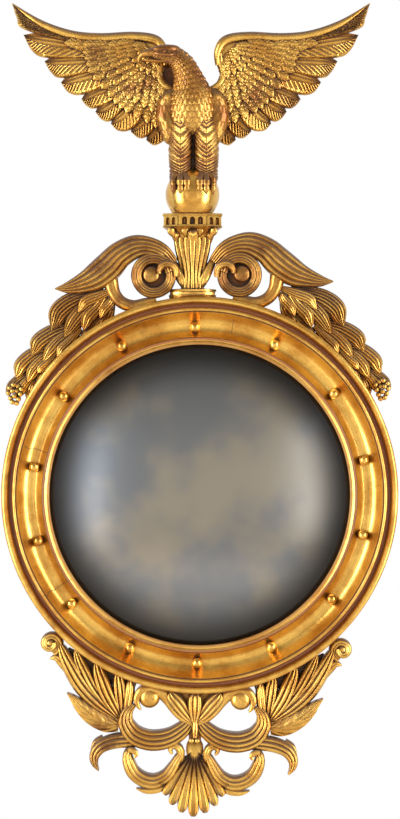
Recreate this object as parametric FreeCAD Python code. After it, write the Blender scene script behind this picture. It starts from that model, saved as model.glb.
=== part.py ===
"""Girandole mirror: a convex looking-glass in a gilt cove frame set with balls.

An eagle stands on an orb and a carved capital above the ring, between two leafy scrolls
with swags, and a pierced apron with a fluted palmette hangs below it.

Millimetres. The wall is the plane y = 0 and the mirror faces -Y, so a height "off the wall"
is minus y. The origin is on the wall, on the axis of the ring; +Z is up.
"""
import FreeCAD
import Part
import os
from math import asin, cos, degrees, pi, radians, sin, sqrt, tan

V = FreeCAD.Vector
os.makedirs("parts", exist_ok=True)

# ---- The looking-glass and its ring -------------------------------------------------
sight_radius = 195.5          # the glass that the frame leaves in view
glass_cover = 7.5             # how far the lip covers it, which makes it a 16 in plate
plate_thickness = 3.5
plate_rise = 26.0             # how far its middle stands proud of its edge
plate_rings = 5
plate_sides = 60
plate_slack = 1.5             # play round the plate in its rebate
plate_gap = 0.2               # the bedding between the lip and the glass
rebate_floor = 34.0           # off the wall: the back of the lip that the glass bears on
lip_width = 10.0
lip_front = 44.0
cove_width = 32.5
cove_floor = 35.0
cove_flats = 6                # the cove is turned as this many flats
cove_front = 52.0             # off the wall: the cove's outer edge
ridge_width = 4.5
ridge_step = 1.5
ridge_front = 57.0
hollow_width = 6.0            # the painted channel inside the outer bead
hollow_floor = 44.0
bead_width = 9.5
bead_front = 50.0
bead_overhang = 2.0           # the bead stands out past the ring's side
bead_back = 42.0
board_back = 10.0             # off the wall: the ring's back, and the backboard's thickness

plate_radius = sight_radius + glass_cover
lip_radius = sight_radius + lip_width
ridge_radius = lip_radius + cove_width
hollow_radius = ridge_radius + ridge_width + hollow_width
frame_radius = hollow_radius + bead_width
rim_radius = frame_radius - bead_overhang

# ---- The balls in the cove ----------------------------------------------------------
ball_diameter = 13.0
ball_seat = 0.5               # its glue stands it off the cove's floor
ball_pitch_radius = lip_radius + 12.9
ball_angles = (-1.6, 26.5, 53.0, 78.0, 103.8, 128.3, 154.7, 180.9, 204.5, 229.7, 254.1, 279.6, 306.0,
               332.4)         # degrees clockwise from the top: they were spaced by eye

# ---- The back -----------------------------------------------------------------------
backboard_reach = plate_radius + 12.0     # from the axis to each of its eight sides
backboard_sides = 8
plank_count = 3
glazing_block_count = 8
glazing_block = (30.0, 9.0)   # along the rim, and across it
glazing_gap = 0.5             # the blocks may stand this far past the plate's edge
strap_width = 22.0
strap_thickness = 4.0
strap_hold = 30.0             # how far a strap runs in over the ring's back
crest_strap_reach = 70.0      # and out behind the carving
apron_strap_reach = 30.0
apron_strap_angle = 30.0      # degrees from the bottom

# ---- The hangers: a flat loop that turns in the rolled end of a strap ----------------
hanger_strap_size = (16.0, 42.0, 1.5)
hanger_place = (frame_radius - 25.0, 85.0)  # the hinge, right of the axis and above centre
hinge_off_wall = 5.0
loop_wire = 3.0
loop_width = 26.0
loop_length = 24.0
loop_sides = 6
hinge_clearance = 0.3

# ---- The crest ----------------------------------------------------------------------
crest_shift = -9.4            # the capital, orb and eagle stand a little to the left
crest_lean = 1.5              # degrees anticlockwise: the scrolls were fixed slightly askew
swag_lean = 0.7
apron_lean = -1.3
capital_height = 90.4         # from the ring's top to the underside of the plinth
capital_foot = (35.8, 9.8, 6.0)           # half width, height above the ring, depth below
capital_levels = ((0.11, 33.0), (0.265, 19.0), (0.454, 13.0), (0.608, 19.0),
                  (0.686, 25.0), (0.84, 29.0), (1.0, 38.0))    # share of height, half width
plinth_height = 18.2
plinth_half_width = 39.0
plinth_fillets = (2.6, 4.0)   # the lower and the upper
plinth_sinking = 2.0          # the fluted band lies this far back between them
orb_radius = 35.0
orb_flat = 23.4               # from the orb's centre down to the flat that it stands on
orb_off_wall = 40.0
orb_bands = 10
orb_sides = 24
scroll_length = 181.0         # from the axis to the tip of the arched leaf
scroll_front = 34.0
volute_radius = 30.0
volute_eye_radius = 10.4
volute_hollow_radius = 15.6
volute_front = 41.0
volute_sides = 20

# ---- The eagle ----------------------------------------------------------------------
eagle_height = 170.0          # from the foot to the crown
eagle_stance = 16.5           # from the middle to each leg
foot_share = 0.6              # the feet grip the orb at this share of its radius
wing_length = 233.0           # from the body's middle to the tip
wing_rise = 65.0              # from the orb's centre to the wing's lowest feather
wing_shift = -1.9
wing_off_wall = 22.0
feather_thickness = 9.0
feather_step = 1.0
feather_burial = 0.3          # how far each quill runs in under the arm, towards the shoulder
covert_front = 43.0
dowel_side = 8.0
dowel_in_plinth = 0.7         # share of the plinth's height
dowel_in_eagle = 80.0

# ---- Swags and apron ----------------------------------------------------------------
swag_radius = frame_radius + 28.0
swag_start = 26.0             # degrees from the top
swag_husks = 4
husk_width = 49.0
husk_length = 60.0
husk_shrink = 0.86
husk_overlap = 0.78           # each husk starts at this share of the one before
berry_share = (0.75, 0.7)     # the berry drop beside a husk: length and width
swag_draw = 2.6               # each husk hangs this much nearer the ring
swag_back = 14.0
swag_front = 37.0
swag_fall = 1.5               # and this much nearer the wall
swag_pin_side = 3.0
swag_pin_front = swag_back + 7.0
swag_pin_depth = 10.0         # how far each pin is driven into the ring
swag_pin_angles = (32.0, 44.0, 55.0)
apron_half_width = 205.5
apron_front = 34.0
apron_ball = (11.7, 7.0, 14)  # the round terminal: radius, how proud it stands, sides
palmette_drop = 80.0          # from the ring down to the shell's hub
palmette_radius = 82.0
palmette_lobes = 7
palmette_spread = 42.0        # degrees from the middle lobe to the last
palmette_fall = 20.0          # the last lobes are this much shorter
palmette_notch = 6.0
palmette_front = 38.0
sprig_thickness = 6.0
round_margin = 0.12           # a faceted ball's end flats, in radians short of its poles


def off(x, height, z):
    """A point at x and z, standing the given height off the wall."""
    return V(x, -height, z)


def wire(start, *steps):
    """Closed outline in x and z; a step is an end point, or a (middle, end) pair for an arc."""
    edges = []
    here = V(start[0], 0, start[1])
    first = here
    for step in steps:
        if isinstance(step[0], tuple):
            middle, end = (V(p[0], 0, p[1]) for p in step)
            edges.append(Part.Arc(here, middle, end).toShape())
        else:
            end = V(step[0], 0, step[1])
            edges.append(Part.LineSegment(here, end).toShape())
        here = end
    if (here - first).Length > 1e-6:
        edges.append(Part.LineSegment(here, first).toShape())
    return Part.Wire(edges)


def board(outline, back, front, openings=()):
    """A sawn board from an outline, pierced by openings."""
    face = Part.Face([outline] + list(openings)) if openings else Part.Face(outline)
    face.validate()
    return face.translated(V(0, -back, 0)).extrude(V(0, back - front, 0))


def turned(profile):
    """A solid of revolution about the ring's axis from (radius, height off the wall) points."""
    points = [V(radius, -height, 0) for radius, height in profile]
    return Part.Face(Part.makePolygon(points + points[:1])).revolve(V(0, 0, 0), V(0, 1, 0), 360)


def round_points(centre, radius, start, end, steps):
    """Points along an arc, by angles in degrees from the right-hand side upwards."""
    points = []
    for i in range(steps + 1):
        angle = radians(start + (end - start) * i / steps)
        points.append((centre[0] + radius * cos(angle), centre[1] + radius * sin(angle)))
    return points


def carved(sections):
    """A closed faceted form through rings of as many points each, as a chisel leaves it."""
    faces = []
    count = len(sections[0])
    for lower, upper in zip(sections[:-1], sections[1:]):
        for i in range(count):
            j = (i + 1) % count
            faces.append(Part.Face(Part.makePolygon([lower[i], lower[j], upper[j], lower[i]])))
            faces.append(Part.Face(Part.makePolygon([lower[i], upper[j], upper[i], lower[i]])))
    for ring in (sections[0], sections[-1]):
        middle = sum(ring[1:], ring[0]) * (1.0 / count)
        for i in range(count):
            j = (i + 1) % count
            faces.append(Part.Face(Part.makePolygon([ring[i], ring[j], middle, ring[i]])))
    shell = Part.makeShell(faces)
    shell.sewShape()
    solid = Part.makeSolid(shell)
    solid.fix(1e-4, 1e-4, 1e-4)
    return solid


def oval(centre, across, deep, tilt=0.0, sides=12):
    """A ring of points round an oval that lies level, or is tilted about the Y axis."""
    points = []
    for i in range(sides):
        turn = 2 * pi * i / sides
        along, out = across * cos(turn), deep * sin(turn)
        points.append(centre + V(along * cos(radians(tilt)), out, along * sin(radians(tilt))))
    return points


def faceted_ball(centre, radius, bands, sides, lowest=-1.0):
    """A turned ball whose axis is upright, from its lowest latitude (as a share) up."""
    start = asin(lowest)
    rings = []
    for i in range(bands + 1):
        latitude = start + (pi / 2 - start) * i / bands
        latitude = min(max(latitude, round_margin - pi / 2), pi / 2 - round_margin)
        ring_centre = centre + V(0, 0, radius * sin(latitude))
        rings.append(oval(ring_centre, radius * cos(latitude), radius * cos(latitude), 0, sides))
    return carved(rings)


def lean(shape, angle):
    """Turn a piece about the ring's axis, anticlockwise as seen from the front."""
    return shape.rotated(V(0, 0, 0), V(0, 1, 0), -angle)


def mirrored(shape, x=0.0):
    """The piece's fellow on the other side of the plane at x."""
    return shape.mirror(V(x, 0, 0), V(1, 0, 0))


# ---- Frame ---------------------------------------------------------------------------

def frame_ring():
    """The turned ring: rebate, lip, cove, ridge, hollow and outer bead."""
    rebate_radius = plate_radius + plate_slack
    ridge_outer = ridge_radius + ridge_width
    return turned(
        [(rebate_radius, board_back), (rebate_radius, rebate_floor), (sight_radius, rebate_floor),
         (sight_radius, lip_front)]
        + cove_points()
        + [(ridge_radius + ridge_step, ridge_front), (ridge_outer, ridge_front),
           (ridge_outer, hollow_floor), (hollow_radius, hollow_floor),
           (hollow_radius + bead_width / 4, bead_front), (frame_radius - bead_width / 4, bead_front),
           (frame_radius, bead_back), (rim_radius, bead_back), (rim_radius, board_back)])


def cove_points():
    """The cove's hollow as (radius, height) points: a dished curve, lowest under the balls."""
    points = []
    for i in range(cove_flats + 1):
        radius = lip_radius + cove_width * i / cove_flats
        inner = radius < ball_pitch_radius
        side = ball_pitch_radius - lip_radius if inner else ridge_radius - ball_pitch_radius
        rise = (lip_front if inner else cove_front) - cove_floor
        points.append((radius, cove_floor + rise * abs((radius - ball_pitch_radius) / side) ** 2))
    return points


def rim_space():
    """The room that the ring takes up, which every carving is cut back to."""
    side = Part.makeCylinder(rim_radius, bead_back, V(0, 0, 0), V(0, -1, 0))
    front = Part.makeCylinder(frame_radius, ridge_front, V(0, -bead_back, 0), V(0, -1, 0))
    return side.fuse(front)


def glass_height(radius):
    """How far off the wall the front of the glass is at a radius."""
    sphere = (plate_radius ** 2 + plate_rise ** 2) / (2 * plate_rise)
    drop = sphere - sqrt(sphere ** 2 - radius ** 2)
    sight_drop = sphere - sqrt(sphere ** 2 - sight_radius ** 2)
    return rebate_floor - plate_gap + sight_drop - drop


def mirror_plate():
    """The bent glass: a shallow dome of even thickness."""
    sections = []
    for depth in (0.0, plate_thickness):
        rings = []
        for i in range(plate_rings):
            radius = plate_radius * (plate_rings - i) / plate_rings
            height = glass_height(radius) - depth
            rings.append([off(x, height, z) for x, z in
                          round_points((0, 0), radius, 0, 360, plate_sides)[:-1]])
        sections.append(rings)
    front, back = sections
    return carved(front[::-1] + back)


def cove_ball(angle):
    """One of the gilt balls, glued in the cove."""
    radius = ball_diameter / 2
    height = cove_floor + radius + ball_seat
    centre = off(ball_pitch_radius * sin(radians(angle)), height, ball_pitch_radius * cos(radians(angle)))
    return faceted_ball(centre, radius, 4, 8)


# ---- Back ----------------------------------------------------------------------------

def backboard_planks():
    """The eight-sided board that closes the back, of planks laid side by side."""
    half_side = 180.0 / backboard_sides
    corners = round_points((0, 0), backboard_reach / cos(radians(half_side)),
                           half_side, half_side + 360, backboard_sides)
    whole = board(wire(*corners), 0, board_back)
    width = 2 * backboard_reach / plank_count
    planks = []
    for i in range(plank_count):
        top = backboard_reach - i * width
        slot = Part.makeBox(2 * frame_radius, board_back, width,
                            V(-frame_radius, -board_back, top - width))
        planks.append(whole.common(slot))
    return planks


def glazing_blocks():
    """Softwood blocks glued round the rebate behind the glass."""
    along, across = glazing_block
    outer = sqrt((plate_radius + glazing_gap) ** 2 - (along / 2) ** 2)
    back_of_glass = glass_height(plate_radius) - plate_thickness
    block = Part.makeBox(along, back_of_glass - board_back, across,
                         V(-along / 2, -back_of_glass, outer - across))
    turn = 360.0 / glazing_block_count
    return Part.makeCompound([lean(block, turn * (i + 0.5)) for i in range(glazing_block_count)])


def back_strap(angle, reach):
    """A flat iron strap that ties a carving to the back of the ring."""
    strap = Part.makeBox(strap_width, strap_thickness, strap_hold + reach,
                         V(-strap_width / 2, -board_back, frame_radius - strap_hold))
    return lean(strap, angle)


def hanger_strap():
    """The strap of a hanger, with its end rolled into a barrel for the loop."""
    width, length, thickness = hanger_strap_size
    x, z = hanger_place
    plate = Part.makeBox(width, thickness, length, V(x - width / 2, -board_back, z - length))
    end = V(x - width / 2, -hinge_off_wall, z)
    barrel = Part.makeCylinder(board_back - hinge_off_wall - hinge_clearance / 3, width, end, V(1, 0, 0))
    bore = Part.makeCylinder(loop_wire / 2 + hinge_clearance, width, end, V(1, 0, 0))
    return plate.cut(barrel).fuse(barrel).cut(bore)


def hanger_loop():
    """The loop: a round bar in the barrel, and a flat bow that hangs below it."""
    x, z = hanger_place
    half = loop_width / 2
    bar = Part.makeCylinder(loop_wire / 2, loop_width - loop_wire,
                            V(x - half + loop_wire / 2, -hinge_off_wall, z), V(1, 0, 0))
    flat = loop_wire / 2
    turn = (x, z - loop_length + half)
    outer = round_points(turn, half, 180, 360, loop_sides)
    inner = round_points(turn, half - loop_wire, 360, 180, loop_sides)
    bow = board(wire((x - half, z), *(outer + [(x + half, z), (x + half - loop_wire, z)]
                                      + inner + [(x - half + loop_wire, z)])),
                hinge_off_wall - flat, hinge_off_wall + flat)
    return bow.fuse(bar)


# ---- Crest ---------------------------------------------------------------------------

def half_octagon(half_width, z):
    """Half an octagon in plan, with its long side on the back plane."""
    near = half_width * tan(pi / 8)
    plan = [(half_width, 0), (half_width, near), (near, half_width),
            (-near, half_width), (-half_width, near), (-half_width, 0)]
    return [off(crest_shift + x, board_back + depth, z) for x, depth in plan]


def stacked(levels):
    """A half-octagon block through (height, half width) levels."""
    return carved([half_octagon(half_width, z) for z, half_width in levels])


def capital():
    """The leaf capital: a moulded foot, a narrow fluted neck and a flaring bell."""
    half_width, foot_top, foot_depth = capital_foot
    bottom = sqrt(frame_radius ** 2 - crest_shift ** 2) - foot_depth
    levels = [(bottom, half_width), (frame_radius + foot_top, half_width)]
    levels += [(frame_radius + capital_height * share, half) for share, half in capital_levels]
    return stacked(levels).cut(rim_space())


def plinth():
    """The moulded block that the orb stands on."""
    bottom = frame_radius + capital_height
    top = bottom + plinth_height
    lower, upper = plinth_fillets
    full, inner = plinth_half_width, plinth_half_width - plinth_sinking
    return stacked([(bottom, full), (bottom + lower, full), (bottom + lower + 0.1, inner),
                    (top - upper, inner), (top - upper + 0.1, full), (top, full)])


def orb_centre():
    return off(crest_shift, orb_off_wall, frame_radius + capital_height + plinth_height + orb_flat)


def orb():
    """The ball under the eagle's feet, cut flat where it stands."""
    return faceted_ball(orb_centre(), orb_radius, orb_bands, orb_sides, -orb_flat / orb_radius)


def crest_scroll():
    """The left scroll: an arched leaf over a volute, pierced by a crescent."""
    size = scroll_length / 181.0

    def at(x, rise):
        return (x * size, frame_radius + rise * size)
    outline = wire(at(-28, 60), (at(-76, 80), at(-121, 58)), (at(-147, 33), at(-181, 19)), at(-177, 12),
                   (at(-158, 5), at(-136, 8)), at(-115, 9), (at(-108, -8), at(-90, -16)),
                   at(-70, -33), at(-30, -23), at(-25, 4), (at(-22, 32), at(-28, 60)))
    crescent = wire(at(-84, 47), (at(-101, 22), at(-88, -2)), (at(-81, -5), at(-74, -2)),
                    (at(-88, 20), at(-84, 47)))
    rings = [wire(*round_points(at(-56, 30), radius, 0, 360, volute_sides))
             for radius in (volute_radius, volute_hollow_radius, volute_eye_radius)]
    raised = board(rings[0], scroll_front, volute_front, [rings[1]])
    pupil = board(rings[2], scroll_front, volute_front)
    scroll = board(outline, board_back, scroll_front, [crescent])
    return scroll.fuse(raised).fuse(pupil).cut(rim_space())


# ---- Eagle ---------------------------------------------------------------------------

def eagle_body():
    """The eagle's body, its neck turned to the left, its beak, legs and toes."""
    foot = orb_centre().z + orb_radius * foot_share
    size = eagle_height / 170.0

    def ring(right, height, up, across, deep, tilt=0.0, sides=12):
        return oval(off(crest_shift + right * size, height, foot + up * size), across * size, deep, tilt, sides)
    body = carved([
        ring(0, 40, 54, 26, 18), ring(0, 41, 72, 31, 23), ring(-1, 43, 96, 31, 26),
        ring(-2, 46, 116, 26, 24, 6), ring(-7, 49, 134, 21, 20, 20), ring(-17, 54, 150, 18, 17, 45),
        ring(-30, 58, 157, 15.5, 14, 68), ring(-42, 61, 158, 14, 13, 84), ring(-50, 62, 156.5, 10, 9, 92)])
    beak = carved([ring(-46, 62, 158, 9, 8, 90, 8), ring(-60, 62, 156, 7.5, 5.5, 100, 8),
                   ring(-68, 62, 151, 4.5, 3, 135, 8), ring(-70, 62, 144, 1, 1, 175, 8)])
    solid = body.fuse(beak)
    for side in (-1, 1):
        hip = side * eagle_stance
        leg = carved([ring(hip, 46, 2, 11, 10, 0, 10), ring(hip, 44, 14, 13.5, 13, 0, 10),
                      ring(hip, 42, 40, 14, 14, 0, 10), ring(hip, 41, 68, 13, 14, 0, 10)])
        solid = solid.fuse(leg)
        for splay in (-8.0, 0.0, 8.0):
            claw = hip + splay
            solid = solid.fuse(carved([ring(claw * 0.97, 52, 4, 4, 5, 0, 6), ring(claw, 72, -3, 4, 4, 0, 6),
                                       ring(claw * 1.02, 74, -14, 2.5, 2.5, 0, 6)]))
    return solid.cut(orb())


def wing(body):
    """The right wing: an arm plate over nine stepped feathers, cut to the body's side."""
    size = wing_length / 233.0
    tips = [(233, 186), (218.4, 144.3), (191, 110), (169.6, 82.5), (143, 60.5),
            (124.8, 44.2), (104.6, 28.6), (78.6, 18.2), (58.5, 7.2)]
    bulges = [(227, 166), (207.5, 124), (182.6, 95.5), (160, 69.5), (136, 51.7),
              (116.5, 34), (95, 19.5), (69, 10.3), (48.7, 0)]
    heels = [(217, 151.5), (191, 115), (169.6, 88.4), (143.6, 66.3), (124.8, 48.8),
             (104.6, 32.5), (78.6, 20.8), (58.5, 11.7), (34, 3.9)]
    roots = [(150, 149), (128.7, 127.4), (126, 113), (122, 97.5), (105, 79), (92, 63.7),
             (82, 56), (58.5, 43), (41.6, 32.5), (30, 20)]
    shoulder = (80, 120)

    def at(point, towards=(0, 0), share=0.0):
        x, z = (a + share * (b - a) for a, b in zip(point, towards))
        return (crest_shift + wing_shift + x * size, orb_centre().z + wing_rise + z * size)
    arm = board(wire(at(tips[0]), (at((196, 163)), at((156, 149))), (at((118, 145)), at((75, 146.3))),
                     (at((47, 141)), at((36, 128))), (at((37, 108)), at((41.5, 88))), at((30, 73)),
                     at((24, 20)), at(roots[8]), at(roots[6]), at(roots[4]), at(roots[3]), at(roots[1]),
                     at((190, 148))),
                wing_off_wall, covert_front)
    solid = arm
    for i in range(len(tips)):
        buried = [at(roots[k], shoulder, feather_burial) for k in (i + 1, i)]
        outline = wire(at(tips[i]), (at(bulges[i]), at(heels[i])), at(roots[i + 1]), *buried)
        back = wing_off_wall + feather_step * i / 2
        front = back + feather_thickness + feather_step * (i % 2)
        solid = solid.fuse(board(outline, back, front))
    return solid.cut(body)


def eagle_dowel():
    """The square iron that pins the eagle and the orb to the plinth."""
    bottom = orb_centre().z - orb_flat - plinth_height * dowel_in_plinth
    top = orb_centre().z + orb_radius * foot_share + dowel_in_eagle
    half = dowel_side / 2
    return Part.makeBox(dowel_side, dowel_side, top - bottom,
                        V(crest_shift - half, -orb_off_wall - half, bottom))


# ---- Swags ---------------------------------------------------------------------------

def swag_pins():
    """Square iron pins, driven into the ring's side, that carry a swag."""
    pins = []
    for angle in swag_pin_angles:
        pin = Part.makeBox(swag_pin_side, swag_pin_side, swag_radius - rim_radius + swag_pin_depth / 2,
                           V(-swag_pin_side / 2, -swag_pin_front, rim_radius - swag_pin_depth))
        pins.append(lean(pin, angle))
    return Part.makeCompound(pins)


def swag():
    """The left swag: a chain of three-tipped husks that shrink, and a berry drop."""
    solid = None
    angle, width, length = swag_start, husk_width, husk_length
    for i in range(swag_husks + 1):
        last = i == swag_husks
        reach = length * (berry_share[0] if last else 1.0)
        w = width * (berry_share[1] if last else 1.0)
        side = [(0.0, 0.28), (0.2, 0.42), (0.5, 0.5), (0.72, 0.5), (0.88, 0.46), (0.74, 0.22)]
        left = [(along * reach, -out * w) for along, out in side]
        right = [(along * reach, out * w) for along, out in reversed(side)]
        outline = wire(*(left + [(reach, 0)] + right))
        husk = board(outline, swag_back, swag_front - swag_fall * i)
        middle = angle + degrees(reach / swag_radius) / 2
        husk.rotate(V(0, 0, 0), V(0, 1, 0), 180)
        husk.translate(V(reach / 2, 0, swag_radius - swag_draw * i))
        husk = lean(husk, middle)
        solid = husk if solid is None else solid.fuse(husk)
        angle += degrees(husk_overlap * reach / swag_radius)
        width *= husk_shrink
        length *= husk_shrink
    return solid.cut(rim_space())


# ---- Apron ---------------------------------------------------------------------------

def apron_half():
    """The left half of the apron: a volute and leaf arm, and two pierced scrolls."""
    size = apron_half_width / 205.5

    def at(x, drop):
        return (x * size, -frame_radius - drop * size)
    outline = wire(at(-165, -73), at(-186, -74.3), (at(-205.5, -57), at(-188, -39.5)), at(-179, -38),
                   (at(-162, -11), at(-143, 6)), at(-160, 8), (at(-146, 29), at(-98, 56)), at(-106, 57),
                   (at(-122, 64), at(-134, 77)), at(-128, 80), (at(-133, 91), at(-123, 104)), at(-120, 92),
                   (at(-108, 79), at(-80, 78)), (at(-82, 106), at(-58, 124)), at(-73, 127),
                   (at(-58, 133), at(-36, 125)), at(-18, 94), at(0, 82), at(0, -28))
    upper = wire(at(-76, 28), (at(-62, 23), at(-50, 18)), at(-43, 9), at(-35, 25), at(-20, 36),
                 (at(-46, 54), at(-76, 28)))
    lower = wire(at(-67, 80), at(-23, 78), (at(-42, 106), at(-67, 80)))
    half = board(outline, board_back, apron_front, [upper, lower])
    radius, proud, sides = apron_ball
    knob = board(wire(*round_points(at(-61, 10), radius, 0, 360, sides)), apron_front, apron_front + proud)
    return half.fuse(knob).cut(rim_space())


def palmette():
    """The fluted shell at the foot, its lobes spread like a fan."""
    hub = (0.0, -frame_radius - palmette_drop)
    lobe = 2 * palmette_spread / (palmette_lobes - 1)

    def at(angle, notch=0.0):
        share = min(abs(angle) / palmette_spread, 1.0)
        radius = palmette_radius - palmette_fall * share ** 2 - notch
        return (hub[0] + radius * sin(radians(angle)), hub[1] - radius * cos(radians(angle)))
    middles = [lobe * i - palmette_spread for i in range(palmette_lobes)]
    steps = [(at(middle), at(middle + lobe / 2, palmette_notch)) for middle in middles]
    outline = wire(at(middles[0] - lobe / 2, palmette_notch), *steps, (16, hub[1] + 4), (-16, hub[1] + 4))
    return board(outline, board_back, palmette_front)


def sprig():
    """Three leaves over the joint of the two apron halves."""
    z = -frame_radius
    right = [(6, z - 38), (20, z - 29), (28, z - 18), (30, z - 2), (14, z - 11), (7, z - 22),
             (7, z - 10), (3, z - 2)]
    left = [(-x, level) for x, level in reversed(right)]
    outline = wire(*(right + [(0, z + 2)] + left))
    return board(outline, apron_front, apron_front + sprig_thickness).cut(rim_space())


# ---- Assembly ------------------------------------------------------------------------

def main_nodes():
    nodes = {"frame_ring": frame_ring(), "mirror_plate": mirror_plate(),
             "glazing_blocks": glazing_blocks()}
    for i, plank in enumerate(backboard_planks()):
        nodes["backboard_plank_%d" % (i + 1)] = plank
    for i, angle in enumerate(ball_angles):
        nodes["ball_%02d" % (i + 1)] = cove_ball(angle)
    dowel = eagle_dowel()
    body = eagle_body()
    nodes["capital"] = capital()
    nodes["plinth"] = plinth().cut(dowel)
    nodes["orb"] = orb().cut(dowel)
    nodes["eagle_dowel"] = dowel
    nodes["eagle_body"] = body.cut(dowel)
    nodes["eagle_wing_right"] = wing(body)
    wings_middle = crest_shift + wing_shift
    nodes["eagle_wing_left"] = mirrored(wing(mirrored(body, wings_middle)), wings_middle)
    scroll = crest_scroll()
    block = nodes["capital"].fuse(plinth())
    nodes["crest_scroll_left"] = lean(scroll, crest_lean).cut(block)
    nodes["crest_scroll_right"] = lean(mirrored(scroll), crest_lean).cut(block)
    pins = swag_pins()
    chain = swag().cut(pins)
    for side, chain_here, pins_here in (("left", chain, pins), ("right", mirrored(chain), mirrored(pins))):
        pins_here = lean(pins_here, swag_lean)
        nodes["swag_" + side] = lean(chain_here, swag_lean).cut(nodes["crest_scroll_" + side])
        nodes["swag_pins_" + side] = pins_here
        nodes["frame_ring"] = nodes["frame_ring"].cut(pins_here)
    half, shell = apron_half(), palmette()
    nodes["apron_left"] = lean(half.cut(shell), apron_lean)
    nodes["apron_right"] = lean(mirrored(half).cut(shell), apron_lean)
    nodes["apron_palmette"] = lean(shell, apron_lean)
    nodes["apron_sprig"] = lean(sprig(), apron_lean)
    nodes["crest_strap"] = back_strap(crest_lean, crest_strap_reach)
    for side, sign in (("left", -1), ("right", 1)):
        angle = 180 + sign * apron_strap_angle + apron_lean
        nodes["apron_strap_" + side] = back_strap(angle, apron_strap_reach)
    strap, loop = hanger_strap(), hanger_loop()
    nodes["hanger_strap_right"], nodes["hanger_loop_right"] = strap, loop
    nodes["hanger_strap_left"], nodes["hanger_loop_left"] = mirrored(strap), mirrored(loop)
    return nodes


for name, shape in main_nodes().items():
    shape.exportStep("parts/%s.step" % name)
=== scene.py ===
import bmesh
import bpy
from math import cos, exp, floor, hypot, pi, radians, sin, sqrt
from mathutils import Matrix, Vector


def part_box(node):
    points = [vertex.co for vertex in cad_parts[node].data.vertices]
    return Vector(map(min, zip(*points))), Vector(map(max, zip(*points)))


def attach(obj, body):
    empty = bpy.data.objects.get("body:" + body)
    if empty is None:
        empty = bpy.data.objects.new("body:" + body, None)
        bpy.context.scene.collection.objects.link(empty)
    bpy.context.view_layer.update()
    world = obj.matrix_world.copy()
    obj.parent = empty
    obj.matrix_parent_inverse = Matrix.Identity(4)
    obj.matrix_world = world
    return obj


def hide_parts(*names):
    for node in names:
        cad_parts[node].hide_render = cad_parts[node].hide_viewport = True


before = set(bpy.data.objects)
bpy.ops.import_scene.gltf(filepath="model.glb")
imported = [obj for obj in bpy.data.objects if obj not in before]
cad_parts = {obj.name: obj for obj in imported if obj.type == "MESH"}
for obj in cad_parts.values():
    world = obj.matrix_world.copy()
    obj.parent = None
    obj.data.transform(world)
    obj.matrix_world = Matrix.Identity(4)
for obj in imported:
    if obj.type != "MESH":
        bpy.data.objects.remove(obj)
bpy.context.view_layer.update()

MM = 0.001

# ---- The room -------------------------------------------------------------------------
# The mirror hangs in a pale studio: a floor well below it, white behind it, a tall soft
# light on each side and a dim round room in front, which the glass and the gold show.

photo_width, photo_height = 400, 819
photo_scale = 1.30 * MM            # one pixel of the photograph, at the frame
photo_axis = (199.7, 495.0)        # where the ring's axis falls in the photograph
camera_distance = 4.2
middle_depth = 0.04                # how far off the wall the photograph's scale holds
scene = bpy.context.scene
scene.view_settings.view_transform = "Standard"

camera_data = bpy.data.cameras.new("camera")
camera_data.sensor_fit = "VERTICAL"
camera_data.sensor_height = 36.0
camera_data.lens = camera_data.sensor_height * (camera_distance - middle_depth) / (photo_height * photo_scale)
camera = bpy.data.objects.new("camera", camera_data)
camera.location = ((photo_width / 2 - photo_axis[0]) * photo_scale, -camera_distance,
                   (photo_axis[1] - photo_height / 2) * photo_scale)
camera.rotation_euler = (radians(90), 0, 0)
scene.collection.objects.link(camera)
scene.camera = camera


def blank_material(name):
    """A new material, with its node tree and its shader."""
    material = bpy.data.materials.new(name)
    material.use_nodes = True
    return material, material.node_tree, material.node_tree.nodes["Principled BSDF"]


def feed(tree, node, inputs):
    """Gives a node's inputs their values, or links them to other nodes."""
    for name, value in inputs.items():
        if isinstance(value, bpy.types.NodeSocket):
            tree.links.new(value, node.inputs[name])
        else:
            node.inputs[name].default_value = value


def staged(bm, name, place, colour, seen=True):
    """A part of the room: the floor, or the dim wall round the room."""
    bmesh.ops.translate(bm, vec=place, verts=bm.verts)
    mesh = bpy.data.meshes.new(name)
    bm.to_mesh(mesh)
    bm.free()
    part = bpy.data.objects.new(name, mesh)
    part.visible_camera = seen
    part.visible_shadow = seen
    scene.collection.objects.link(part)
    material, tree, shader = blank_material(name)
    feed(tree, shader, {"Base Color": (*colour, 1), "Roughness": 0.9})
    mesh.materials.append(material)


room_radius, room_height = 4.9, 4.6
room_cut = 0.25                    # the room is open behind this plane
bm = bmesh.new()
bmesh.ops.create_grid(bm, x_segments=1, y_segments=1, size=3.1)
staged(bm, "floor", (0, -1.8, -1.15), (0.86, 0.80, 0.72))
bm = bmesh.new()
bmesh.ops.create_cone(bm, cap_ends=True, segments=96, radius1=room_radius, radius2=room_radius,
                      depth=room_height)
bmesh.ops.bisect_plane(bm, geom=bm.verts[:] + bm.edges[:] + bm.faces[:], plane_co=(0, room_cut, 0),
                       plane_no=(0, 1, 0), clear_outer=True)
staged(bm, "dim_room", (0, 0, 0.9), (0.46, 0.435, 0.39), seen=False)


def soft_light(name, place, turn, size, watts, colour):
    """A tall softbox, or a pale card; the turn is in degrees."""
    data = bpy.data.lights.new(name, "AREA")
    data.shape = "RECTANGLE"
    data.size, data.size_y = size
    data.energy = watts
    data.color = colour
    light = bpy.data.objects.new(name, data)
    light.location = place
    light.rotation_euler = [radians(angle) for angle in turn]
    scene.collection.objects.link(light)


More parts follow.
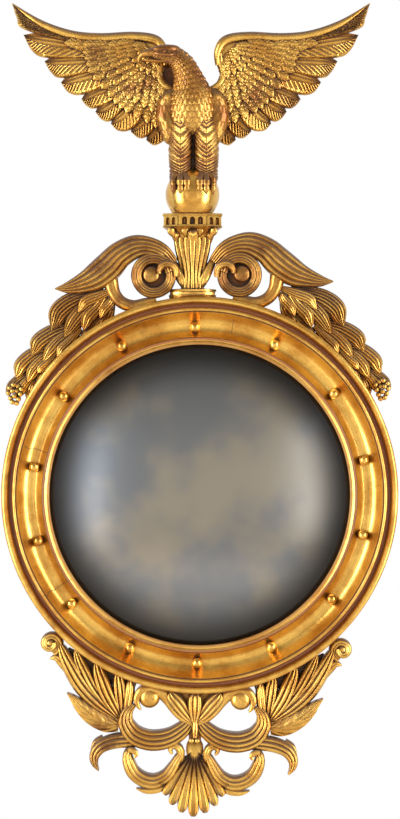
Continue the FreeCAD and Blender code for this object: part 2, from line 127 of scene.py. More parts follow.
soft_light("light_left", (-2.2, -1.3, 0.35), (90, 0, -60), (0.9, 2.6), 80, (1.0, 0.97, 0.92))
soft_light("light_right", (2.2, -1.3, 0.35), (90, 0, 60), (0.9, 2.6), 76, (1.0, 0.97, 0.92))
soft_light("bounce_light", (0, -2.6, 0.2), (-90, 0, 0), (3.0, 2.0), 110, (1.0, 0.97, 0.93))
soft_light("pale_card_left", (-1.25, -2.7, 0.05), (90, 0, -25), (0.30, 1.5), 3.6, (0.93, 0.96, 1.0))
soft_light("pale_card_right", (1.25, -2.7, 0.1), (90, 0, 25), (0.24, 1.3), 2.6, (0.93, 0.96, 1.0))


def added(tree, kind, inputs, output=0, **choices):
    """Adds a shader node and returns one of its outputs."""
    node = tree.nodes.new("ShaderNode" + kind)
    for name, value in choices.items():
        setattr(node, name, value)
    feed(tree, node, inputs)
    return node.outputs[output]


world = bpy.data.worlds.new("studio")
scene.world = world
world.use_nodes = True
tree = world.node_tree
ambient = tree.nodes["Background"]
feed(tree, ambient, {"Color": (0.95, 0.95, 1.0, 1), "Strength": 0.42})
white = added(tree, "Background", {"Color": (1, 1, 1, 1)})
rays = tree.nodes.new("ShaderNodeLightPath").outputs
seen_clear = added(tree, "Math", {0: rays["Is Camera Ray"], 1: rays["Is Glossy Ray"]}, operation="MAXIMUM")
seen_clear = added(tree, "Math", {0: seen_clear, 1: rays["Is Transmission Ray"]}, operation="MAXIMUM")
chosen = added(tree, "MixShader", {0: seen_clear, 1: ambient.outputs[0], 2: white})
feed(tree, tree.nodes["World Output"], {"Surface": chosen})

# ---- The gilded ring ------------------------------------------------------------------
# Eight staves of softwood glued into a ring and turned on a faceplate: a lip over the
# glass, a wide cove, a narrow ridge, a hollow left in red clay, and an outer bead.
# It is gessoed and water gilt, and the staves' joints have opened as hairlines.

gold_bright = (0.80, 0.505, 0.120, 1)
gold_deep = (0.55, 0.280, 0.050, 1)
# A toned brown: the gold's real toning and the backs' wood, and painted shade in the hollows.
toned_and_shade_brown = (0.22, 0.085, 0.022, 1)
bole_red = (0.21, 0.062, 0.020, 1)
# Near black: real dirt in the cracks, and painted shade deep in the cuts.
grime_and_painted_shade = (0.030, 0.012, 0.006, 1)
# Grey brown on faces that look up: some dust, and a painted dark reflection of the ceiling.
dust_and_reflection_brown = (0.155, 0.085, 0.047, 1)
bare_wood = (0.27, 0.165, 0.080, 1)


def times(tree, first, *others):
    """The product of sockets and values."""
    for other in others:
        first = added(tree, "Math", {0: first, 1: other}, operation="MULTIPLY")
    return first


def plus(tree, first, second):
    """The sum of two sockets or values."""
    return added(tree, "Math", {0: first, 1: second}, operation="ADD")


def rest_of(tree, share):
    """What is left of 1."""
    return added(tree, "Math", {0: 1.0, 1: share}, operation="SUBTRACT")


def mixed(tree, factor, first, second):
    """A colour mix; a factor, or either colour, may be a socket or a value."""
    return added(tree, "Mix", {0: factor, 6: first, 7: second}, 2, data_type="RGBA")


def ramp(tree, value, low, high):
    """Runs a socket's values from 0 at low to 1 at high."""
    return added(tree, "MapRange", {"Value": value, "From Min": low, "From Max": high},
                 interpolation_type="SMOOTHSTEP")


def own_place(tree):
    """The piece's own coordinates."""
    return added(tree, "TexCoord", {}, "Object")


def noise(tree, scale, detail=4.0, rough=0.55, bent=0.0, stretch=None):
    """Cloudy noise on the piece's own coordinates, which a grain stretches."""
    place = own_place(tree)
    if stretch:
        place = added(tree, "Mapping", {"Vector": place, "Scale": stretch})
    return added(tree, "TexNoise", {"Vector": place, "Scale": scale, "Detail": detail, "Roughness": rough,
                                    "Distortion": bent}, "Fac")


def split(tree, vector):
    """The x, y and z of a vector socket."""
    node = tree.nodes.new("ShaderNodeSeparateXYZ")
    tree.links.new(vector, node.inputs[0])
    return node.outputs


def from_axis(tree):
    """How far a point stands from the ring's axis, in metres."""
    flat = added(tree, "VectorMath", {0: own_place(tree), 1: (1, 0, 1)}, operation="MULTIPLY")
    return added(tree, "VectorMath", {0: flat}, "Value", operation="LENGTH")


def within(tree, distance, inner, outer, soft):
    """1 between two distances in millimetres, with soft edges, and 0 outside them."""
    return times(tree, ramp(tree, distance, (inner - soft) * MM, (inner + soft) * MM),
                 ramp(tree, distance, (outer + soft) * MM, (outer - soft) * MM))


def unshaded_share_of(tree, reach):
    """1 on the swells, and towards 0 deep in a cut and close to the wall: the mask of painted shade, with
    some real dirt in the hollows.
    """
    # Painted shade close to the wall, under the carving.
    proud = ramp(tree, times(tree, split(tree, own_place(tree))[1], -1.0), 13 * MM, 26 * MM)
    unshaded = plus(tree, times(tree, proud, 0.9), 0.1)
    for share, shut, clear in ((1.0, 0.15, 0.90), (0.28, 0.30, 0.95)):
        hollow = added(tree, "AmbientOcclusion", {"Distance": reach * share * MM}, "AO", samples=6)
        unshaded = times(tree, unshaded, ramp(tree, hollow, shut, clear))
    return unshaded


def hairline(tree, angle, inner, outer):
    """A crack along the joint of two staves: 1 on its wandering line, and 0 off it."""
    turned_place = added(tree, "Mapping", {"Vector": own_place(tree), "Rotation": (0, -radians(angle), 0)})
    across, _, outward = split(tree, turned_place)
    wander = times(tree, plus(tree, noise(tree, 70, 3), -0.5), 7 * MM)
    off_line = added(tree, "Math", {0: plus(tree, across, wander)}, operation="ABSOLUTE")
    line = ramp(tree, off_line, 0.55 * MM, 0.20 * MM)
    return times(tree, line, within(tree, outward, inner - 1, outer + 1, 1))


def bumped(tree, height, strength, deep):
    """The unevenness of a face by a socket; deep is in millimetres."""
    return added(tree, "Bump", {"Height": height, "Strength": strength, "Distance": deep * MM})


def gilding(name, wear, reach, shine, bands=(), cracks=(), dusted_and_darkened=0.0, toned=0.0):
    """Water gilding over red clay: bright on the swells, toned brown, and darkened in the cuts by painted
    shade over some dirt.

    Reach is how far, in millimetres, a cut spreads its painted shade and dirt. Bands are (inner, outer,
    strength) radii left in clay, and cracks are (angle from the top, inner, outer). Dusted is how far faces
    that look up turn grey brown, with some dust and a painted dark reflection of the ceiling, and toned is
    how much of the gold is toned down.
    """
    material, tree, shader = blank_material(name)
    unshaded = unshaded_share_of(tree, reach)
    cloud, speck = noise(tree, 22, 6, 0.6), noise(tree, 380, 5, 0.7)
    toning = ramp(tree, noise(tree, 9 + 16 * toned, 5, 0.65), 0.56 - 0.14 * toned, 0.74 - 0.10 * toned)
    gold = mixed(tree, ramp(tree, cloud, 0.36, 0.62), gold_deep, gold_bright)
    gold = mixed(tree, toning, gold, toned_and_shade_brown)
    gold = mixed(tree, 0.45 * toned, gold, toned_and_shade_brown)
    # In the hollows the gold turns toned brown: some real toning, and painted shade.
    toned_and_shaded_gold = mixed(tree, ramp(tree, unshaded, 0.30, 0.92), toned_and_shade_brown, gold)
    # Deep in the cuts the clay goes near black as painted shade.
    clay_and_shade = mixed(tree, ramp(tree, unshaded, 0.02, 0.35), grime_and_painted_shade, bole_red)
    mottle = plus(tree, cloud, times(tree, speck, 0.7))
    # Gold leaf is left where wear spares it, and taken off where painted shade falls in the cuts.
    leaf_left_and_unshaded = times(tree, ramp(tree, unshaded, 0.10, 0.42),
                      ramp(tree, mottle, 0.42 + 0.25 * wear, 0.52 + 0.25 * wear))
    for inner, outer, strength in bands:
        patchy = plus(tree, times(tree, mottle, 0.5), strength - 0.4)
        bare = times(tree, within(tree, from_axis(tree), inner, outer, 0.4), patchy)
        leaf_left_and_unshaded = times(tree, leaf_left_and_unshaded, rest_of(tree, bare))
    for angle, inner, outer in cracks:
        line = hairline(tree, angle, inner, outer)
        clay_and_shade = mixed(tree, line, clay_and_shade, grime_and_painted_shade)
        leaf_left_and_unshaded = times(tree, leaf_left_and_unshaded, rest_of(tree, line))
    facing = split(tree, tree.nodes.new("ShaderNodeNewGeometry").outputs["Normal"])
    behind, looks_up = ramp(tree, facing[1], 0.5, 0.8), ramp(tree, facing[2], 0.16, 0.70)
    # Faces that look up turn grey brown: some dust, and a painted dark reflection of the ceiling.
    dust_and_dark_reflection = times(tree, looks_up, plus(tree, ramp(tree, cloud, 0.25, 0.5), 0.35), dusted_and_darkened)
    dust_and_dark_reflection = added(tree, "Math", {0: dust_and_dark_reflection, 1: 1.0}, operation="MINIMUM")
    wood = mixed(tree, ramp(tree, cloud, 0.35, 0.65), toned_and_shade_brown, bare_wood)
    front = mixed(tree, dust_and_dark_reflection, mixed(tree, leaf_left_and_unshaded, clay_and_shade, toned_and_shaded_gold), dust_and_reflection_brown)
    gilt = times(tree, leaf_left_and_unshaded, rest_of(tree, times(tree, dust_and_dark_reflection, 0.7)), rest_of(tree, behind))
    rough = plus(tree, times(tree, speck, 0.22), times(tree, rest_of(tree, gilt), 0.25))
    pits = plus(tree, speck, times(tree, noise(tree, 120, 3), 1.2))
    feed(tree, shader, {"Base Color": mixed(tree, behind, front, wood), "Metallic": times(tree, gilt, 0.96),
                        "Roughness": plus(tree, rough, shine - 0.08), "Coat Weight": 0.22,
                        "Coat Roughness": 0.16, "Normal": bumped(tree, pits, 0.30, 0.35)})
    return material


def finished(bm, name, material, nodes=(), crease=38):
    """Turns a bmesh into a piece that rides on the frame and stands for its CAD nodes."""
    touching = 0.02 * MM
    bmesh.ops.remove_doubles(bm, verts=bm.verts, dist=touching)
    bmesh.ops.dissolve_degenerate(bm, edges=bm.edges, dist=touching)
    bmesh.ops.recalc_face_normals(bm, faces=bm.faces)
    mesh = bpy.data.meshes.new(name)
    bm.to_mesh(mesh)
    bm.free()
    mesh.materials.append(material)
    mesh.shade_smooth()
    mesh.set_sharp_from_angle(angle=radians(crease))
    piece = bpy.data.objects.new(name, mesh)
    scene.collection.objects.link(piece)
    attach(piece, "frame")
    if nodes:
        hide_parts(*nodes)


def turned(bm, profile, steps=240):
    """Spins a closed (radius, height off the wall) profile, in millimetres, about the ring's axis."""
    verts = [bm.verts.new((radius * MM, -height * MM, 0)) for radius, height in profile]
    edges = [bm.edges.new((a, b)) for a, b in zip(verts, verts[1:] + verts[:1])]
    bmesh.ops.spin(bm, geom=verts + edges, cent=(0, 0, 0), axis=(0, 1, 0), dvec=(0, 0, 0),
                   angle=2 * pi, steps=steps, use_merge=True)


def arc(centre, radius, start, end, steps):
    """Points of a round stretch, by angles in degrees."""
    turns = [radians(start + (end - start) * i / steps) for i in range(steps + 1)]
    return [(centre[0] + radius * cos(turn), centre[1] + radius * sin(turn)) for turn in turns]


ring_low, ring_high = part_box("frame_ring")
ring_side = ring_high.x / MM - 2.0
back_plane = -ring_high.y / MM
ridge_top = -ring_low.y / MM
sight_radius, rebate_radius = 195.5, 204.5
rebate_floor = 34.0
ball_pitch = 218.4
cove_inner, cove_outer = 205.5, 238.0
cove_floor, lip_height, ridge_foot = 35.0, 44.0, 52.0
cove_points = 14
cove = []
for i in range(cove_points + 1):
    radius = cove_inner + (cove_outer - cove_inner) * i / cove_points
    inner = radius < ball_pitch
    edge, side = (lip_height, ball_pitch - cove_inner) if inner else (ridge_foot, cove_outer - ball_pitch)
    cove.append((radius, cove_floor + (edge - cove_floor) * abs((radius - ball_pitch) / side) ** 2.2))
bm = bmesh.new()
turned(bm, [(rebate_radius, back_plane), (rebate_radius, rebate_floor), (sight_radius, rebate_floor)]
       + arc((sight_radius + 1.6, 42.4), 1.6, 180, 90, 4)
       + [(199.5, 43.4), (200.2, 42.9), (201.0, 43.4)]
       + arc((203.2, 42.4), 2.0, 130, 30, 5)
       + cove
       + [(238.1, 50.6), (238.9, 50.6)]
       + arc((240.9, ridge_top - 2.0), 2.0, 180, 0, 8)
       + [(243.1, 53.5), (243.6, 47.0), (245.2, 44.2), (247.0, 44.0), (248.6, 45.6)]
       + arc((253.4, 45.4), 4.6, 178, 90, 7)
       + arc((253.4, 45.4), 4.6, 78, -28, 8)
       + [(ring_side, 41.6), (ring_side, back_plane)])
ring_gold = gilding("ring_gilding", wear=0.36, reach=5.5, shine=0.27,
                    bands=[(201.6, 205.0, 0.85), (243.2, 248.4, 0.95), (sight_radius - 1, 198.4, 0.6),
                           (237.4, 239.6, 0.7)],
                    cracks=[(285.5, 206, 236), (237.0, 200, 240), (11.0, 215, 232)])
finished(bm, "turned_ring", ring_gold, ["frame_ring"])

# ---- The looking-glass ----------------------------------------------------------------
# A convex plate of blown glass, silvered on its back. The silvering has greyed, so it
# gives a soft dim picture of the room; its blue and buff clouds of tarnish also paint in a
# blurred reflection, and painted shade darkens it towards the lip.

plate_low, plate_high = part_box("mirror_plate")
plate_radius = plate_high.x / MM
plate_crown = -plate_low.y / MM
plate_rise, plate_thickness = 26.0, 3.5
plate_sphere = (plate_radius ** 2 + plate_rise ** 2) / (2 * plate_rise)
plate_rings = 28
radii = [plate_radius * i / plate_rings for i in range(plate_rings + 1)]
front = [(r, plate_crown - plate_sphere + sqrt(plate_sphere ** 2 - r ** 2)) for r in radii]
back = [(r, height - plate_thickness) for r, height in reversed(front)]
bm = bmesh.new()
turned(bm, front + back, steps=160)
grey_blue, grey_buff = (0.19, 0.21, 0.245, 1), (0.31, 0.295, 0.265, 1)
# Near black for the painted shade towards the lip.
rim_shade_grey = (0.035, 0.035, 0.037, 1)
silver, tree, shader = blank_material("aged_silvering")
# Clouds of blue and buff: tarnish on the silvering, which also stands in as a painted blurred reflection.
tarnish_and_reflection = mixed(tree, ramp(tree, noise(tree, 8, 3), 0.38, 0.62), grey_blue, grey_buff)
# Painted shade: the silvering's colour darkens towards the lip.
rim_shade = ramp(tree, from_axis(tree), 130 * MM, 192 * MM)
uneven = plus(tree, times(tree, noise(tree, 11, 4), 0.14), 0.16)
feed(tree, shader, {"Base Color": mixed(tree, rim_shade, tarnish_and_reflection, rim_shade_grey), "Metallic": 1.0,
                    "Roughness": uneven, "Coat Weight": 0.2, "Coat Roughness": 0.12})
finished(bm, "looking_glass", silver, ["mirror_plate"], crease=60)

# ---- The balls ------------------------------------------------------------------------
# Fourteen turned softwood balls, gessoed and gilt. Each is glued in the hollow of the
# cove, and they were set by eye.

ball_gold = gilding("ball_gilding", wear=0.28, reach=5.0, shine=0.22)
for name in sorted(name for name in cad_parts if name.startswith("ball_")):
    low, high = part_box(name)
    bm = bmesh.new()
    bmesh.ops.create_uvsphere(bm, u_segments=32, v_segments=18, radius=(high.x - low.x) / 2)
    bmesh.ops.rotate(bm, cent=(0, 0, 0), matrix=Matrix.Rotation(radians(90), 3, "X"), verts=bm.verts)
    bmesh.ops.translate(bm, vec=(low + high) / 2, verts=bm.verts)
    finished(bm, "gilt_" + name, ball_gold, [name])

# ---- Carving --------------------------------------------------------------------------
# The crest, swags and apron are carved in softwood from the board and gilt like the ring.
# Each leaf, feather or scroll is a strip that swells along its line and is cut with veins.


def along(rows, share):
    """The row of sizes at a share of the way along a smooth line through the given rows."""
    last = len(rows) - 1
    step = min(int(share * last), last - 1)
    t = share * last - step
    p0, p1 = rows[max(step - 1, 0)], rows[step]
    p2, p3 = rows[step + 1], rows[min(step + 2, last)]
    return [0.5 * (2 * b + (c - a) * t + (2 * a - 5 * b + 4 * c - d) * t ** 2
                   + (3 * b - a - 3 * c + d) * t ** 3) for a, b, c, d in zip(p0, p1, p2, p3)]


def leaf_cut(veins, slant, depth, rib):
    """A midrib with slanting veins on each side."""
    def cut(share, side):
        vein = abs(sin(pi * (share * veins - abs(side) * slant)))
        return depth * vein * min(1.0, abs(side) * 3) + rib * exp(-(side / 0.13) ** 2)
    return cut


def reeded(reeds, depth):
    """Parallel reeds along a scroll."""
    def cut(share, side):
        return depth * abs(sin(pi * reeds * (side + 1) / 2))
    return cut


def plain(share, side):
    """No cut at all."""
    return 0.0


def backed(bm, faces, back):
    """Gives a carved face its sides and its flat back, whose points are returned."""
    made = bmesh.ops.extrude_face_region(bm, geom=faces)["geom"]
    behind = [item for item in made if isinstance(item, bmesh.types.BMVert)]
    for vert in behind:
        vert.co.y = -back * MM
    return behind


def faces_of(verts):
    """The faces round some points, each once and in order."""
    return list(dict.fromkeys(face for vert in verts for face in vert.link_faces))


def near_points(rows, share):
    """The row at a share of a line, and the rows just before and after it, which give its way."""
    return along(rows, share), along(rows, max(share - 0.01, 0.0)), along(rows, min(share + 0.01, 1.0))


def carve(bm, rows, back, cut, lengthwise, across, crown):
    """One carved strip. A row is (x, z, half width, height off the wall), in millimetres."""
    grid = bmesh.ops.create_grid(bm, x_segments=lengthwise, y_segments=across, size=0.5)["verts"]
    stations = []
    for i in range(lengthwise + 1):
        here, before, ahead = near_points(rows, i / lengthwise)
        dx, dz = ahead[0] - before[0], ahead[1] - before[1]
        size = hypot(dx, dz) or 1.0
        stations.append((here, -dz / size, dx / size))
    for vert in grid:
        share, side = vert.co.x + 0.5, vert.co.y * 2
        (x, z, half, height), nx, nz = stations[round(share * lengthwise)]
        half = max(half, 0.0)
        rise = max(height - crown * half * side ** 2 + half * cut(share, side), back + 0.8)
        vert.co = ((x + nx * side * half) * MM, -rise * MM, (z + nz * side * half) * MM)
    backed(bm, faces_of(grid), back)


def button(bm, x, z, height, radius, deep=0.8):
    """A round carved boss or berry."""
    made = bmesh.ops.create_uvsphere(bm, u_segments=20, v_segments=12, radius=radius * MM)["verts"]
    bmesh.ops.scale(bm, vec=(1, deep, 1), verts=made)
    bmesh.ops.translate(bm, vec=(x * MM, -height * MM, z * MM), verts=made)


def leaned(bm, angle, fellow=False):
    """Turns a carving about the ring's axis, and first makes its fellow for the right side."""
    if fellow:
        bmesh.ops.scale(bm, vec=(-1, 1, 1), verts=bm.verts)
    bmesh.ops.rotate(bm, cent=(0, 0, 0), matrix=Matrix.Rotation(-radians(angle), 3, "Y"), verts=bm.verts)
    return bm


# ---- The wings ------------------------------------------------------------------------
# Each wing is carved apart in softwood and glued to the body: nine long feathers, stepped
# like slates, under rows of small coverts and a rounded rim. Every feather has a quill
# and cut barbs.

carved_gold = gilding("carved_gilding", wear=0.54, reach=9.0, shine=0.26, dusted_and_darkened=0.8, toned=0.12)


def ruled(bm, upper, lower, back, front, lengthwise, across):
    """A carved slip between two smooth lines of (x, z) points; front gives its height."""
    grid = bmesh.ops.create_grid(bm, x_segments=lengthwise, y_segments=across, size=0.5)["verts"]
    for vert in grid:
        share, side = vert.co.x + 0.5, vert.co.y + 0.5
        x, z = between(along(upper, share), along(lower, share), side)
        vert.co = (x * MM, -front(share, side) * MM, z * MM)
    backed(bm, faces_of(grid), back)


def between(a, b, share):
    """The point at a share of the way from one point to another."""
    return tuple(p + (q - p) * share for p, q in zip(a, b))


def barbed(base, lift, barbs):
    """A feather's face: two lines of quill near its upper edge, then deep bowed barbs."""
    def front(share, side):
        below = max(0.0, side - 0.44)
        cut = abs(sin(pi * (share * barbs - 3.4 * below ** 0.8))) ** 0.75
        edge = min(1.0, (1 - side) * 12, (1 - share) * 8 + 0.2)
        rise = base + lift * side + 2.3 * cut * min(1.0, below * 8) * edge - 2.2 * (1 - edge)
        return rise + 2.0 * exp(-((side - 0.38) / 0.05) ** 2) + 1.3 * exp(-((side - 0.24) / 0.045) ** 2)
    return front


def wing_ground(share, side):
    """The wing's swelling body, which shows between the feathers."""
    return 29 + 5.5 * sin(pi * min(side * 0.9 + 0.15, 1.0))


def covert_ground(share, side):
    """The shoulder of the wing, under the coverts and up to the rim."""
    return 36.5 - 2.5 * share


orb_low, orb_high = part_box("orb")
orb_radius, orb_depth = 35, 40
crest_middle = (orb_low.x + orb_high.x) / 2 / MM
orb_middle = orb_high.z / MM - 34.7
wing_axis = (crest_middle - 1.9, orb_middle + 65)
shoulder = (48, 132)
wing_tips = [(233, 185), (218.4, 144.3), (191, 110), (169.6, 82.5), (143, 60.5),
             (124.8, 44.2), (104.6, 28.6), (78.6, 18.2), (58.5, 7.2)]
wing_bulges = [(227, 166), (207.5, 124), (182.6, 95.5), (160, 69.5), (136, 51.7),
               (116.5, 34), (95, 19.5), (69, 10.3), (48.7, 0.5)]
wing_heels = [(217, 151.5), (191, 115), (169.6, 88.4), (143.6, 66.3), (124.8, 48.8),
              (104.6, 32.5), (78.6, 20.8), (58.5, 11.7), (36, 6)]
wing_roots = [(150, 149), (128.7, 127.4), (126, 113), (122, 97.5), (105, 79), (92, 63.7),
              (82, 56), (58.5, 43), (41.6, 32.5), (30, 20)]
first_feather = [(100, 130), (130, 141), (160, 147), (196, 160.5), wing_tips[0]]
feather_lap = 8.0
covert_roots = [(150, 133), (130, 123), (126, 110), (121, 96), (105, 78), (92, 63), (80, 54), (58, 43),
                (40, 33), (28, 22)]
covert_rows = ((0.86, 1.15, 17), (0.70, 0.96, 17), (0.54, 0.80, 15), (0.39, 0.64, 13), (0.25, 0.48, 10),
               (0.12, 0.33, 7))


def wing():
    """The right wing, about its own axis; points are (x, z) in millimetres."""
    bm = bmesh.new()
    ruled(bm, [(34, 127), (33, 108), (38, 88), (28, 73), (18, 48), (14, 22)],
          [(150, 147), (140, 137), (126, 113), (105, 79), (70, 50), (28, 19)], 22.5, wing_ground, 50, 30)
    ruled(bm, [(35, 122), (46, 137), (75, 141.5), (118, 140), (156, 143)],
          [(36, 96), (48, 104), (75, 108), (118, 112), (150, 126)], 23, covert_ground, 40, 12)
    for i, (tip, bulge, heel) in enumerate(zip(wing_tips, wing_bulges, wing_heels)):
        above, below = wing_roots[i], wing_roots[i + 1]
        bow = between(above, tip, 0.5)
        tip_bow = between(bow, tip, 0.6)
        upper = [between(above, shoulder, 0.3), (above[0] + 1, above[1] + feather_lap),
                 (bow[0], bow[1] + feather_lap + 2),
                 (tip_bow[0] + 1, tip_bow[1] + feather_lap * 0.55 + 1.5), tip]
        lower = [between(below, shoulder, 0.3), between(below, heel, 0.25), heel, bulge, tip]
        face = barbed(30.5 - 0.2 * i, 4.6, 20 - i)
        ruled(bm, upper if i else first_feather, lower, 23 + 0.3 * i, face, 90, 28)
    for row, (start, end, count) in enumerate(covert_rows):
        for k in range(count):
            place = (k + 0.5 * (row % 2)) / (count - 0.5)
            root = along(covert_roots, place)
            begin, finish = between(shoulder, root, start), between(shoulder, root, end)
            begin = (begin[0], begin[1] + 2.5 * sin(7 * place + 2 * row))
            half = 6.4 - 0.42 * row
            top = 37.2 + 0.75 * row - 2.0 * place
            carve(bm, [(*begin, half * 0.6, top - 1.5), (*between(begin, finish, 0.35), half, top),
                       (*between(begin, finish, 0.7), half * 0.95, top + 1.0), (*finish, 0.6, top + 0.8)],
                  30, leaf_cut(5, 1.7, 0.34, 0.26), 20, 8, 0.34)
    carve(bm, [(34, 104, 2.5, 39), (35, 122, 5, 42), (46, 137, 6, 43), (75, 141.5, 6, 42.5),
               (118, 140.0, 6, 41), (156, 144.2, 5.5, 39.5), (196, 159, 4.5, 37.5), (233, 184.5, 0.8, 34)],
          30, plain, 90, 10, 0.75)
    carve(bm, [(36, 128, 2, 38), (38.5, 108, 3, 40), (42, 92, 3.4, 40), (36, 80, 3.4, 40), (24, 72, 3, 40)],
          22.5, plain, 40, 8, 0.4)
    return bm


for side in ("right", "left"):
    bm = wing()
    if side == "left":
        bmesh.ops.scale(bm, vec=(-1, 1, 1), verts=bm.verts)
    bmesh.ops.translate(bm, vec=(wing_axis[0] * MM, 0, wing_axis[1] * MM), verts=bm.verts)
    finished(bm, "feathered_wing_" + side, carved_gold, ["eagle_wing_" + side])

# ---- The eagle ------------------------------------------------------------------------
# The body is one block of gilt softwood, pinned on an iron dowel: the neck turns to the
# left, the breast is cut in scales, the legs in herringbone, and three toes of each foot
# grip the orb.


def tube(bm, rows, lengthwise, around, cut=plain):
    """A rounded form along a line. A row is (x, height off the wall, z, half across, half deep)."""
    grid = bmesh.ops.create_grid(bm, x_segments=lengthwise, y_segments=around, size=0.5)["verts"]
    stations = []
    for i in range(lengthwise + 1):
        here, before, ahead = near_points(rows, i / lengthwise)
        line = Vector((ahead[0] - before[0], before[1] - ahead[1], ahead[2] - before[2])).normalized()
        out = Vector((0, -1, 0))
        out = (out - line * out.dot(line)).normalized()
        stations.append((here, line.cross(out), out))
    for vert in grid:
        share, turn = vert.co.x + 0.5, (vert.co.y + 0.5) % 1.0
        (x, height, z, wide, deep), aside, out = stations[round(share * lengthwise)]
        turn += 0.07 * sin(2 * pi * turn)
        angle = 2 * pi * turn
        grow = cut(share, turn)
        vert.co = (Vector((x, -height, z)) + aside * (max(wide, 0.02) + grow) * sin(angle)
                   - out * (max(deep, 0.02) + grow) * cos(angle)) * MM


def ends(share, first, last):
    """1 along most of a form, and down to 0 at each end, where a cut dies out."""
    return min(1.0, share * first, (1 - share) * last)


def scales(down, across):
    """The face of overlapping scale feathers, 0 to 1; rows run down, columns across."""
    height = 0.0
    for row in (floor(down), floor(down) - 1):
        share = down - row
        side = across - 0.5 * (row % 2)
        side -= round(side)
        if share < 1.5 - 2.55 * side * side:
            barbs = 0.10 * abs(sin(pi * (share * 3.5 + abs(side) * 5)))
            quill = 0.12 * exp(-(side / 0.07) ** 2)
            height = max(height, 0.12 + 0.55 * share - 0.9 * side * side + barbs + quill)
    return height


def breast_cut(share, turn):
    """Scales from the legs to the brow, finer and shallower up the neck."""
    above_legs = max(0.0, share - 0.46)
    cut = scales((1 - share) * (26 - 14 * above_legs), turn * (25 + 8 * above_legs))
    return (2.1 - 1.6 * above_legs) * ends(share, 12, 14) * cut


def breeches_cut(share, turn):
    """Herringbone tufts on each side of a ridge down the front of a leg."""
    side = abs(turn - 0.5) * 2
    tufts = abs(sin(pi * (share * 21 + side * 5.0 + 0.3 * sin(side * 9 + share * 27))))
    return (1.9 * tufts ** 0.8 + 1.0 * exp(-(side / 0.04) ** 2)) * ends(share, 8, 8)


def shoulder_cut(share, turn):
    """Small scales where a wing is glued on."""
    return 0.9 * ends(share, 6, 6) * scales((1 - share) * 10, turn * 14)


def toe_cut(share, turn):
    """Rings across a toe, as far as its nail."""
    return 0.5 * abs(sin(pi * share * 9)) * (share < 0.62)


def recess(share, side):
    """A deep slab that closes the gap between the beak and the breast, where painted shade near the wall
    makes it show dark.
    """
    return 16 + 14 * max(0.0, 1 - side * 4.5)


def on_orb(x, z):
    """How far the orb's face stands off the wall, by millimetres from its middle."""
    return orb_depth + sqrt(max(orb_radius ** 2 - x ** 2 - z ** 2, 0))


perch = (crest_middle, orb_middle + 21)


def perched(rows):
    """Moves rows from the eagle's perch to their place."""
    return [(perch[0] + x, height, perch[1] + z, wide, deep) for x, height, z, wide, deep in rows]


breast_to_brow = [
    (0, 36, 56, 2, 2), (0, 38, 60, 18, 12), (0, 39, 67, 27, 18), (-0.5, 40, 80, 29, 23),
    (-0.5, 42, 96, 28.5, 24), (-1.5, 44, 110, 26, 22), (-3.5, 46, 122, 21, 19.5), (-7, 49, 135, 16.5, 17),
    (-12.5, 52, 147, 14, 15.5), (-20.5, 55, 155.5, 12.0, 14), (-30, 58, 159.5, 10.8, 12.5),
    (-39, 60, 160.6, 10.0, 11.5), (-47, 61, 160.4, 7.6, 9.5), (-52, 61.5, 160, 4.5, 7),
    (-54, 61.5, 160, 1, 2)]
skull = [(-14, 52, 163, 1, 1), (-20, 60, 165, 5.4, 4.5), (-30, 65, 166.2, 5.6, 6.5), (-42, 65, 166, 5.2, 6.5),
         (-50, 63, 164.6, 4.2, 5), (-54, 62, 163, 1, 1)]
upper_beak = [(-42, 62, 160.5, 4, 5), (-48, 63, 161.5, 6.4, 7.5), (-55, 63, 161.2, 6.0, 6.5),
              (-61, 62.5, 160.0, 5.0, 5.2), (-65.5, 62, 158.2, 3.8, 4), (-68.6, 61.5, 155.2, 2.6, 2.6),
              (-69.8, 61.5, 151.8, 1.4, 1.2), (-69.8, 61.5, 148.8, 0.05, 0.05)]
lower_beak = [(-34, 62, 150.5, 1.5, 4), (-44, 63, 150.6, 2.6, 5.0), (-54, 62.5, 151.4, 2.4, 4.4),
              (-61, 62, 152.0, 1.7, 2.8), (-65, 61.5, 152.4, 0.05, 0.05)]
brow = [(-53, 68, 160.6, 0.1, 0.1), (-46, 71.6, 159.8, 1.9, 1.5), (-37, 73.4, 158.4, 2.3, 1.9),
        (-28, 72, 158.0, 1.8, 1.4), (-21, 68, 160.6, 0.1, 0.1)]
bm = bmesh.new()
tube(bm, perched(breast_to_brow), 280, 150, breast_cut)
tube(bm, perched(skull), 40, 30)
tube(bm, perched(upper_beak), 60, 28)
tube(bm, perched(lower_beak), 30, 18)
tube(bm, perched(brow), 30, 14)
button(bm, perch[0] - 36.5, perch[1] + 162.2, 72.6, 2.3)
ruled(bm, [(perch[0] - 58, perch[1] + 158), (perch[0] - 30, perch[1] + 164), (perch[0] - 10, perch[1] + 150)],
      [(perch[0] - 50, perch[1] + 84), (perch[0] - 30, perch[1] + 80), (perch[0] - 12, perch[1] + 84)],
      12, recess, 30, 30)
knuckle_limit, nail_limit = 68.4, 70.6
shoulder_rows = [(21, 42, 116, 2, 2), (27, 42, 108, 9, 9), (31, 40, 96, 14, 11.0), (31, 39.5, 80, 16, 11.5),
                 (28, 41, 62, 14, 13), (26, 41, 50, 10, 9), (24, 40, 42, 1, 1)]
